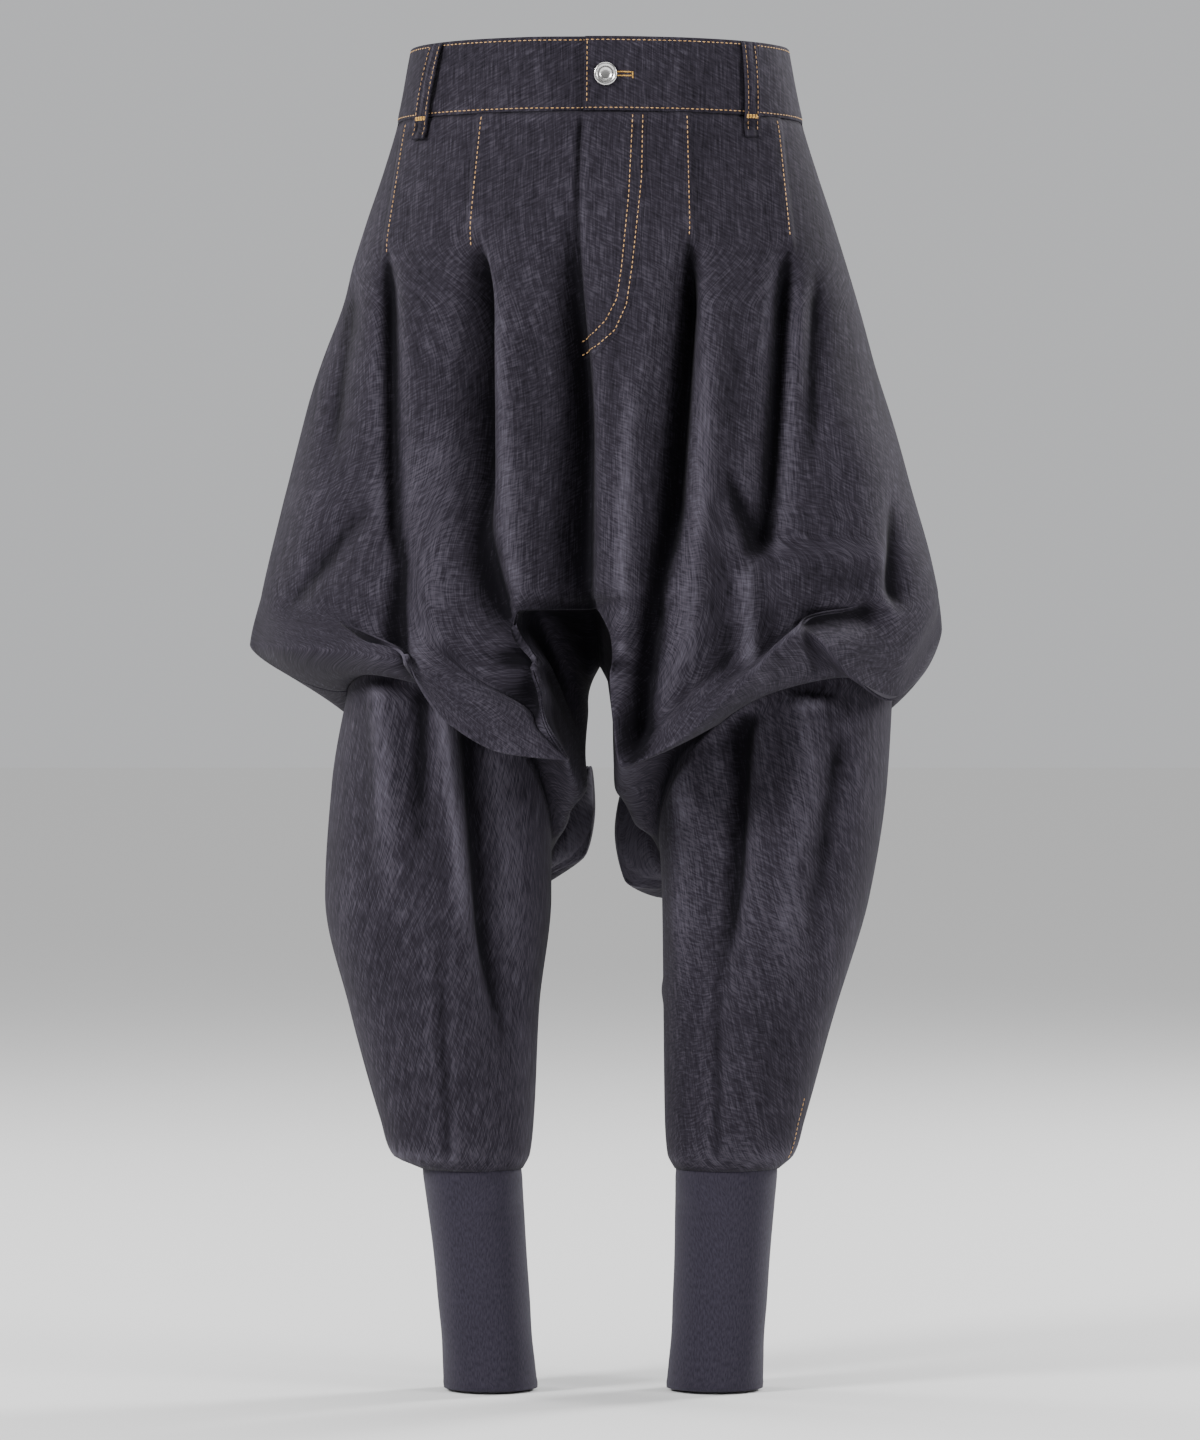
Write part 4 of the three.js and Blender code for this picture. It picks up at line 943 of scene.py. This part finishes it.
# Fly
# The left front laps over the opening and is held by two rows of stitching that turn in at the
# bottom. The zip behind it is closed and doesn't show.
FLY = {
    "z": (-27, -75, -140, -168, -188, -202, -209),
    "left": (-13, -15, -17, -18, -18.5, -19, -19),
    "right": (34, 33, 27, 22, 13, -2, -12),
}
FLY_GRID = (32, 84)
FLY_THICK = 1.6
FLY_PROUD = 2.2
fly_left, fly_right = lines_of(FLY, "z", ("left", "right")).values()


def heading(x, z, front):
    deg = np.degrees(np.arcsin(np.clip(x / body_half(z), -1, 1)))
    return deg if front else 180 - deg


def fly_form(u, v):
    z = mix(FLY["z"][0], FLY["z"][-1], v)
    x = mix(fly_left(z), fly_right(z), u)
    deg = heading(x, z, True)
    lift = FLY_PROUD * ease(1, 0.72, u) * ease(1, 0.97, v) + 0.35
    return front_form(deg, z) + times(body_out(deg, z), lift)


fly = lay_cloth("fly_lap", fly_form, FLY_GRID, FLY_THICK, turned=True, edge=0.5)
finish_piece(fly, "fly", body_denim)

# Back pockets
# Two slanted patch pockets with a deep hem at the mouth and one box pleat down each.
POCKETS = {
    "pocket_left": {
        "top_in": (48, -54),
        "top_out": (160, -110),
        "low_in": (26, -216),
        "low_out": (134, -258),
        "pleat": 0.66,
    },
    "pocket_right": {
        "top_in": (-22, -60),
        "top_out": (-126, -103),
        "low_in": (12, -228),
        "low_out": (-90, -270),
        "pleat": 0.62,
    },
}
POCKET_GRID = (84, 80)
POCKET_THICK = 2.0
POCKET_PROUD = 3.6
PLEAT_DEEP = 4.2
HEM_SHARE = 0.17


def pocket_place(pocket, u, v):
    corners = [np.array(pocket[k], float) for k in ("top_in", "top_out", "low_in", "low_out")]
    top = corners[0] + times(corners[1] - corners[0] + 0 * u[..., None], u)
    low = corners[2] + times(corners[3] - corners[2] + 0 * u[..., None], u)
    flat = top + times(low - top, v)
    return flat[..., 0], flat[..., 1] - 9 * np.sin(np.pi * u) * v


def pocket_form(pocket):
    def form(u, v):
        x, z = pocket_place(pocket, u, v)
        lift = np.max([fold_depth(BACK_FOLDS, x + d, z) for d in (-16, -8, 0, 8, 16)], axis=0)
        aside = np.abs(u - pocket["pleat"])
        pleat = PLEAT_DEEP * ease(0.118, 0.106, aside) * ease(0, 0.05, v)
        pleat = pleat - 2.0 * np.exp(-(((aside - 0.13) / 0.014) ** 2)) * ease(0, 0.12, v)
        mouth = 4 * (1 - ease(0, 0.3, v)) * np.sin(np.pi * u)
        hem = 0.8 * ease(HEM_SHARE + 0.012, HEM_SHARE, v)
        rumple = soft_waves(x * 1.3, z * 1.6, 0.8) * np.sin(np.pi * u) * np.sin(np.pi * v)
        deg = heading(x, z, False)
        out = POCKET_PROUD + pleat + mouth + hem + rumple + lift
        return body_point(deg, z) + times(body_out(deg, z), out)

    return form


pockets = {}
for node, pocket in POCKETS.items():
    piece = lay_cloth(
        node + "_patch",
        pocket_form(pocket),
        POCKET_GRID,
        POCKET_THICK,
        turned=pocket["top_out"][0] < 0,
        smooth=1,
        edge=0.7,
    )
    pockets[node] = finish_piece(piece, node, body_denim)

# Belt loops
# Five-layer strips of denim with a row of stitching down each side, turned under at both ends
# and held across the waist seam by a close bar of bright thread.
LOOPS = {
    "belt_loop_front_right": (-118, -131, True),
    "belt_loop_front_left": (107, 110, True),
    "belt_loop_back_left": (104, 108, False),
    "belt_loop_back_right": (-88, -94, False),
}
LOOP_GRID = (16, 48)
LOOP_THICK = 2.0
LOOP_WIDE = 13.0
LOOP_END = -42.0
loop_denim = denim("loop denim", 64, 1.15)


def loop_form(top_x, low_x, front):
    def form(u, v):
        z = mix(WAIST_TOP - 0.5, LOOP_END, v)
        deg = heading(mix(top_x, low_x, v), z, front)
        bend = np.hypot(body_half(z) * np.cos(np.radians(deg)), 104 * np.sin(np.radians(deg)))
        deg = deg + (u - 0.5) * LOOP_WIDE / np.radians(bend)
        stand = 3.2 + 2.6 * np.sin(np.pi * np.clip(v / 0.86, 0, 1)) ** 0.6
        rib = 0.35 * np.cos((u - 0.5) * 2 * np.pi * 2)
        return body_point(deg, z) + times(body_out(deg, z), stand + rib + 1.2 * ease(0.9, 1, v))

    return form


loops = {}
for node, (top_x, low_x, front) in LOOPS.items():
    form = loop_form(top_x, low_x, front)
    piece = lay_cloth(node + "_strip", form, LOOP_GRID, LOOP_THICK, turned=front, edge=0.6)
    loops[node] = finish_piece(piece, node, loop_denim)

# Woven tab
# A small black satin tab, plain, sewn into the inner edge of the left pocket.
satin, tab_nodes, tab_links = new_material("tab satin")
tab_weave = tab_nodes.new("ShaderNodeTexWave")
set_values(tab_weave, {"Scale": 900, "Distortion": 1.5})
tab_links.new(on_object(tab_nodes), tab_weave.inputs["Vector"])
TAB_COLOURS = (0, (0.004, 0.004, 0.005)), (1, (0.013, 0.013, 0.015))
colour_by(tab_nodes, tab_links, tab_weave.outputs["Fac"], *TAB_COLOURS)
set_values(tab_nodes["Principled BSDF"], {"Roughness": 0.6, "Specular IOR Level": 0.1})
TAB_GRID = (14, 30)
TAB_TOP, TAB_END = -92.0, -126.0
TAB_STAND, TAB_THICK = 1.35, 1.0


def tab_form(u, v):
    z = mix(TAB_TOP, TAB_END, v)
    x = mix(43, 25, u) - 4 * v
    deg = heading(x, z, False)
    curl = 1.8 * ease(0.2, 1, u) + 0.3 * np.sin(v * 5) * u
    return body_point(deg, z) + times(body_out(deg, z), TAB_STAND + curl)


tab = lay_cloth("label_tab_plain", tab_form, TAB_GRID, TAB_THICK, edge=0.3)
finish_piece(tab, "label_tab", satin)

# Topstitching
# Tan jeans thread sewn in short stitches along the waist seam, the tucks, the fly, the
# pockets and the darts. Each stitch is a small rounded bar that sinks into the denim.
STITCH_LONG = 2.9
STITCH_GAP = 0.9
THREAD = 0.85
RAY_START = 60.0
RAY_STEP = 0.6


def speckled(name, dark, light, scale, detail, ends):
    """A material whose colour wanders between two shades in small specks."""
    material, nodes, links = new_material(name)
    specks = noise_on(nodes, links, on_object(nodes), scale, detail).outputs["Fac"]
    colour_by(nodes, links, specks, (ends[0], dark), (ends[1], light))
    return material, nodes["Principled BSDF"].inputs


def thread_material(name, dark, light):
    material, inputs = speckled(name, dark, light, 420, 2, (0.3, 0.62))
    inputs["Roughness"].default_value = 0.55
    return material


tan_thread = thread_material("tan thread", (0.35, 0.19, 0.07), (0.62, 0.37, 0.15))
bright_thread = thread_material("bright thread", (0.55, 0.28, 0.05), (0.85, 0.5, 0.1))


def trees_of(pieces):
    depth = bpy.context.evaluated_depsgraph_get()
    return [BVHTree.FromObject(p, depth) for p in pieces]


def land(trees, start, into):
    """The first cloth met from start along into, and the way that it faces there."""
    best = None
    for tree in trees:
        place, facing, _, far = tree.ray_cast(Vector(start), Vector(into), 0.3)
        if place is not None and (best is None or far < best[2]):
            best = (place, facing, far)
    return best


def run_of(points):
    return np.concatenate([[0], np.cumsum(np.linalg.norm(np.diff(points, axis=0), axis=1))])


def rays_to_body(deg, z):
    out = body_out(deg, z)
    return body_point(deg, z) + out * RAY_START, -out


def seam_on_body(points, front, step=RAY_STEP):
    """Ray starts and ways for a line drawn on the front or back, close enough to follow it."""
    points = np.array(points, float)
    run = run_of(points)
    places = np.arange(0, run[-1] + 1e-6, step)
    x, z = np.interp(places, run, points[:, 0]), np.interp(places, run, points[:, 1])
    return rays_to_body(heading(x, z, front), z)


def between(run, points, place):
    return np.array([np.interp(place, run, points[:, i]) for i in range(3)])


def sew(name, runs, cloths, material, long=STITCH_LONG, gap=STITCH_GAP, wide=THREAD, seed=1):
    """Rows of stitches on the cloth that is met first along each line of rays."""
    trees = trees_of(cloths)
    chance = np.random.default_rng(seed)
    bm = bmesh.new()
    for starts, intos in runs:
        met = [land(trees, s * MM, d) for s, d in zip(starts, intos)]
        met = [m for m in met if m]
        if len(met) < 3:
            continue
        line = np.array([m[0] for m in met]) / MM
        faces = np.array([m[1] for m in met])
        run = run_of(line)
        here = 0.4
        while here + long < run[-1]:
            size = long * chance.uniform(0.92, 1.06)
            ends = [between(run, line, k) for k in (here, here + size)]
            up = Vector(between(run, faces, here + size / 2)).normalized()
            way = Vector(ends[1] - ends[0])
            here += size + gap
            if way.length < 0.5 * size or way.length > 1.5 * size:
                continue
            way.normalize()
            side = up.cross(way).normalized()
            up = way.cross(side)
            turn = Matrix((side, way, up)).transposed().to_4x4()
            middle = Vector((ends[0] + ends[1]) / 2) + up * 0.12
            size_matrix = Matrix.Diagonal((wide / 2, size / 2, wide * 0.42, 1))
            scale = Matrix.Diagonal((MM, MM, MM, 1))
            place = scale @ Matrix.Translation(middle) @ turn @ size_matrix
            bmesh.ops.create_icosphere(bm, subdivisions=1, radius=1, matrix=place)
    bmesh.ops.recalc_face_normals(bm, faces=bm.faces)
    mesh = mesh_of(name, bm)
    mesh.shade_smooth()
    return finish_piece(put(name, mesh), None, material)


WAIST_RADIUS = 130.0


def seam_round_waist(start, end, z):
    long = math.radians(abs(end - start)) * WAIST_RADIUS
    deg = np.linspace(start, end, int(long / RAY_STEP))
    return rays_to_body(deg, z + 0 * deg)


body_cloth = [bpy.data.objects["panel_" + n] for n in (*front_panels, *back_panels)]
front_bands = [bands["front_left"], bands["front_right"]]
waist_runs = [seam_round_waist(-88, 88, z) for z in (-23.4, 26.2)]
waist_runs += [seam_on_body([(-9.2, 26), (-9.6, -22)], True)]
sew("topstitch_waist_front", waist_runs, front_bands, tan_thread)
back_runs = [seam_round_waist(93, 267, z) for z in (-23, 25)]
sew("topstitch_waist_back", back_runs, [bands["back"]], tan_thread, seed=2)
tuck_runs = [seam_on_body(tuck, True) for tuck in TUCKS]
sew("topstitch_tucks", tuck_runs, body_cloth, tan_thread, seed=3)
FLY_ROWS = [
    [(31, -28), (30, -75), (23, -140), (19, -168), (10.5, -187), (-2, -198), (-17, -205)],
    [(23.5, -28), (20.5, -88), (15.5, -140), (12, -164), (4, -180), (-5, -189), (-17, -195.5)],
]
fly_runs = [seam_on_body(row, True) for row in FLY_ROWS]
sew("topstitch_fly", fly_runs, [*body_cloth, fly], tan_thread, seed=4)


def pocket_line(node, places):
    steps, knots = np.linspace(0, 1, 60), np.linspace(0, 1, len(places))
    u, v = (np.interp(steps, knots, [place[k] for place in places]) for k in (0, 1))
    return seam_on_body(np.stack(pocket_place(POCKETS[node], u, v), -1), False)


pocket_runs = []
for node in POCKETS:
    pocket_runs.append(pocket_line(node, [(0.025, HEM_SHARE), (0.975, HEM_SHARE)]))
    pocket_runs.append(pocket_line(node, [(0.022, 0.01), (0.022, 0.978)]))
    foot_row = [(0.022, 0.978), (0.3, 0.978), (0.6, 0.978), (0.975, 0.978)]
    pocket_runs.append(pocket_line(node, foot_row))
sew("topstitch_pockets", pocket_runs, list(pockets.values()), tan_thread, seed=5)

loop_runs, bar_runs = [], []
for top_x, low_x, front in LOOPS.values():
    for aside in (-3.4, 3.4):
        loop_runs.append(seam_on_body([(top_x + aside, 26), (low_x + aside, -40)], front))
    middle = mix(top_x, low_x, 0.78)
    for z in (-26.2, -27.2, -28.2):
        bar_runs.append(seam_on_body([(middle - 6.4, z), (middle + 6.4, z)], front))
strips = list(loops.values())
sew("topstitch_loops", loop_runs, strips, tan_thread, wide=0.6, seed=6)
sew("bartack_loops", bar_runs, strips, bright_thread, long=2.6, gap=0.1, wide=1.0, seed=7)

legs = [o for o in bpy.data.objects if o.name.startswith("leg_panel_")]


def seam_on_leg(side, points):
    """A line down a leg, its places given as the turn round the leg and the height."""
    points = np.array(points, float)
    count = int(np.ptp(points[:, 1]) / RAY_STEP)
    z = np.linspace(points[0, 1], points[-1, 1], count)
    turn = np.interp(-z, -points[:, 1], points[:, 0])
    out = leg_out(side, turn)
    return tube_point(side, leg_lines[side], turn, z) + out * RAY_START, -out


dart_runs = [
    seam_on_leg(1, [(62, -746), (66, -794)]),
    seam_on_leg(1, [(122, -746), (120, -796)]),
    seam_on_leg(-1, [(150, -746), (148, -796)]),
]
sew("topstitch_darts", dart_runs, legs, tan_thread, seed=8)

# Buttonhole
# A short slit beside the button, worked close all round in bright thread.
HOLE_STEP = 0.3
hole_lines = []
for z in (2.6, -0.2):
    hole_lines += [[(x, z - 0.9), (x, z + 0.9)] for x in np.arange(12.4, 22.5, 0.9)]
hole_lines += [[(22.6, -1.6 + k), (25, -1.6 + k)] for k in range(5)]
hole_runs = [seam_on_body(line, True, HOLE_STEP) for line in hole_lines]
sew("buttonhole", hole_runs, front_bands, bright_thread, long=1.2, gap=0.4, wide=0.85, seed=9)

# Button
# A pressed metal shank button: a rolled rim round a dished plain cap.
WORN, BRIGHT = (0.52, 0.51, 0.5), (0.86, 0.85, 0.84)
silver, metal = speckled("button silver", WORN, BRIGHT, 380, 4, (0, 1))
metal["Metallic"].default_value = 1
metal["Roughness"].default_value = 0.3
BUTTON_WIDE = 17.0
# From the middle of the face, over the rim and down the shank: share of the radius, and height
BUTTON_PROFILE = [
    (0, 1.9), (0.3, 1.95), (0.46, 2.15), (0.5, 2.5), (0.58, 2.65), (0.66, 2.35), (0.74, 2.6),
    (0.84, 3.15), (0.93, 3.1), (0.99, 2.6), (1, 2.1), (0.94, 1.7), (0.5, 1.5), (0.48, 0.2),
    (0, 0.2),
]
low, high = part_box("button")
foot = Vector(((low.x + high.x) / 2, high.y, (low.z + high.z) / 2))
bm = bmesh.new()
ring = [bm.verts.new((r * BUTTON_WIDE / 2 * MM, -h * MM, 0)) for r, h in BUTTON_PROFILE]
edges = [bm.edges.new(pair) for pair in zip(ring, ring[1:])]
bmesh.ops.spin(
    bm,
    geom=[*ring, *edges],
    cent=(0, 0, 0),
    axis=(0, 1, 0),
    angle=math.tau,
    steps=48,
    use_merge=True,
    dvec=(0, 0, 0),
)
bmesh.ops.remove_doubles(bm, verts=bm.verts, dist=1e-6)
bmesh.ops.recalc_face_normals(bm, faces=bm.faces)
bmesh.ops.translate(bm, verts=bm.verts, vec=foot)
button_mesh = mesh_of("button_cap", bm)
button_mesh.shade_smooth()
finish_piece(put("button_cap", button_mesh), "button", silver)

# Floor and light
# A plain pale floor, with large soft lamps before and behind the trousers.
FLOOR_HALF = 60.0
bm = bmesh.new()
bmesh.ops.create_grid(bm, x_segments=1, y_segments=1, size=FLOOR_HALF)
bmesh.ops.translate(bm, verts=bm.verts, vec=(0, 0, CUFF_HEM * MM - 0.002))
floor = put("floor", mesh_of("floor", bm))
pale, pale_nodes, _ = new_material("pale floor")
set_values(pale_nodes["Principled BSDF"], {"Base Color": (0.7, 0.7, 0.7, 1), "Roughness": 0.9})
floor.data.materials.append(pale)

world = bpy.data.worlds.new("studio")
world.use_nodes = True
sky_nodes, sky_links = world.node_tree.nodes, world.node_tree.links
sky_nodes["Background"].inputs["Color"].default_value = (0.93, 0.94, 0.96, 1)
sky_path = sky_nodes.new("ShaderNodeLightPath")
sky_power = sky_nodes.new("ShaderNodeMapRange")
set_values(sky_power, {"To Min": 0.1, "To Max": 0.62})
sky_links.new(sky_path.outputs["Is Camera Ray"], sky_power.inputs["Value"])
sky_links.new(sky_power.outputs["Result"], sky_nodes["Background"].inputs["Strength"])
bpy.context.scene.world = world

LAMPS_FACE = (0, 0, -0.42)
LAMPS = [
    ("key", (-3.0, -2.3, 1.5), 0.9, 205),
    ("fill", (3.1, -1.9, 0.9), 1.2, 92),
    ("back key", (3.0, 2.3, 1.5), 0.9, 205),
    ("back fill", (-3.1, 1.9, 0.9), 1.2, 92),
]
for name, place, size, power in LAMPS:
    lamp = bpy.data.lights.new(name, "AREA")
    lamp.size = size
    lamp.energy = power
    stand = put(name, lamp)
    stand.location = place
    facing = Vector(LAMPS_FACE) - Vector(place)
    stand.rotation_euler = facing.to_track_quat("-Z", "Y").to_euler()
roof = bpy.data.lights.new("roof", "SUN")
roof.energy = 2.3
roof.angle = math.radians(60)
put("roof", roof)

# Camera
# Square to the front at the height of the knees, from far enough to keep the outline true.
camera_data = bpy.data.cameras.new("camera")
camera_data.lens = 155
camera = put("camera", camera_data)
camera.location = (0, -4.6, -0.468)
camera.rotation_euler = (math.radians(90), 0, 0)
bpy.context.scene.camera = camera
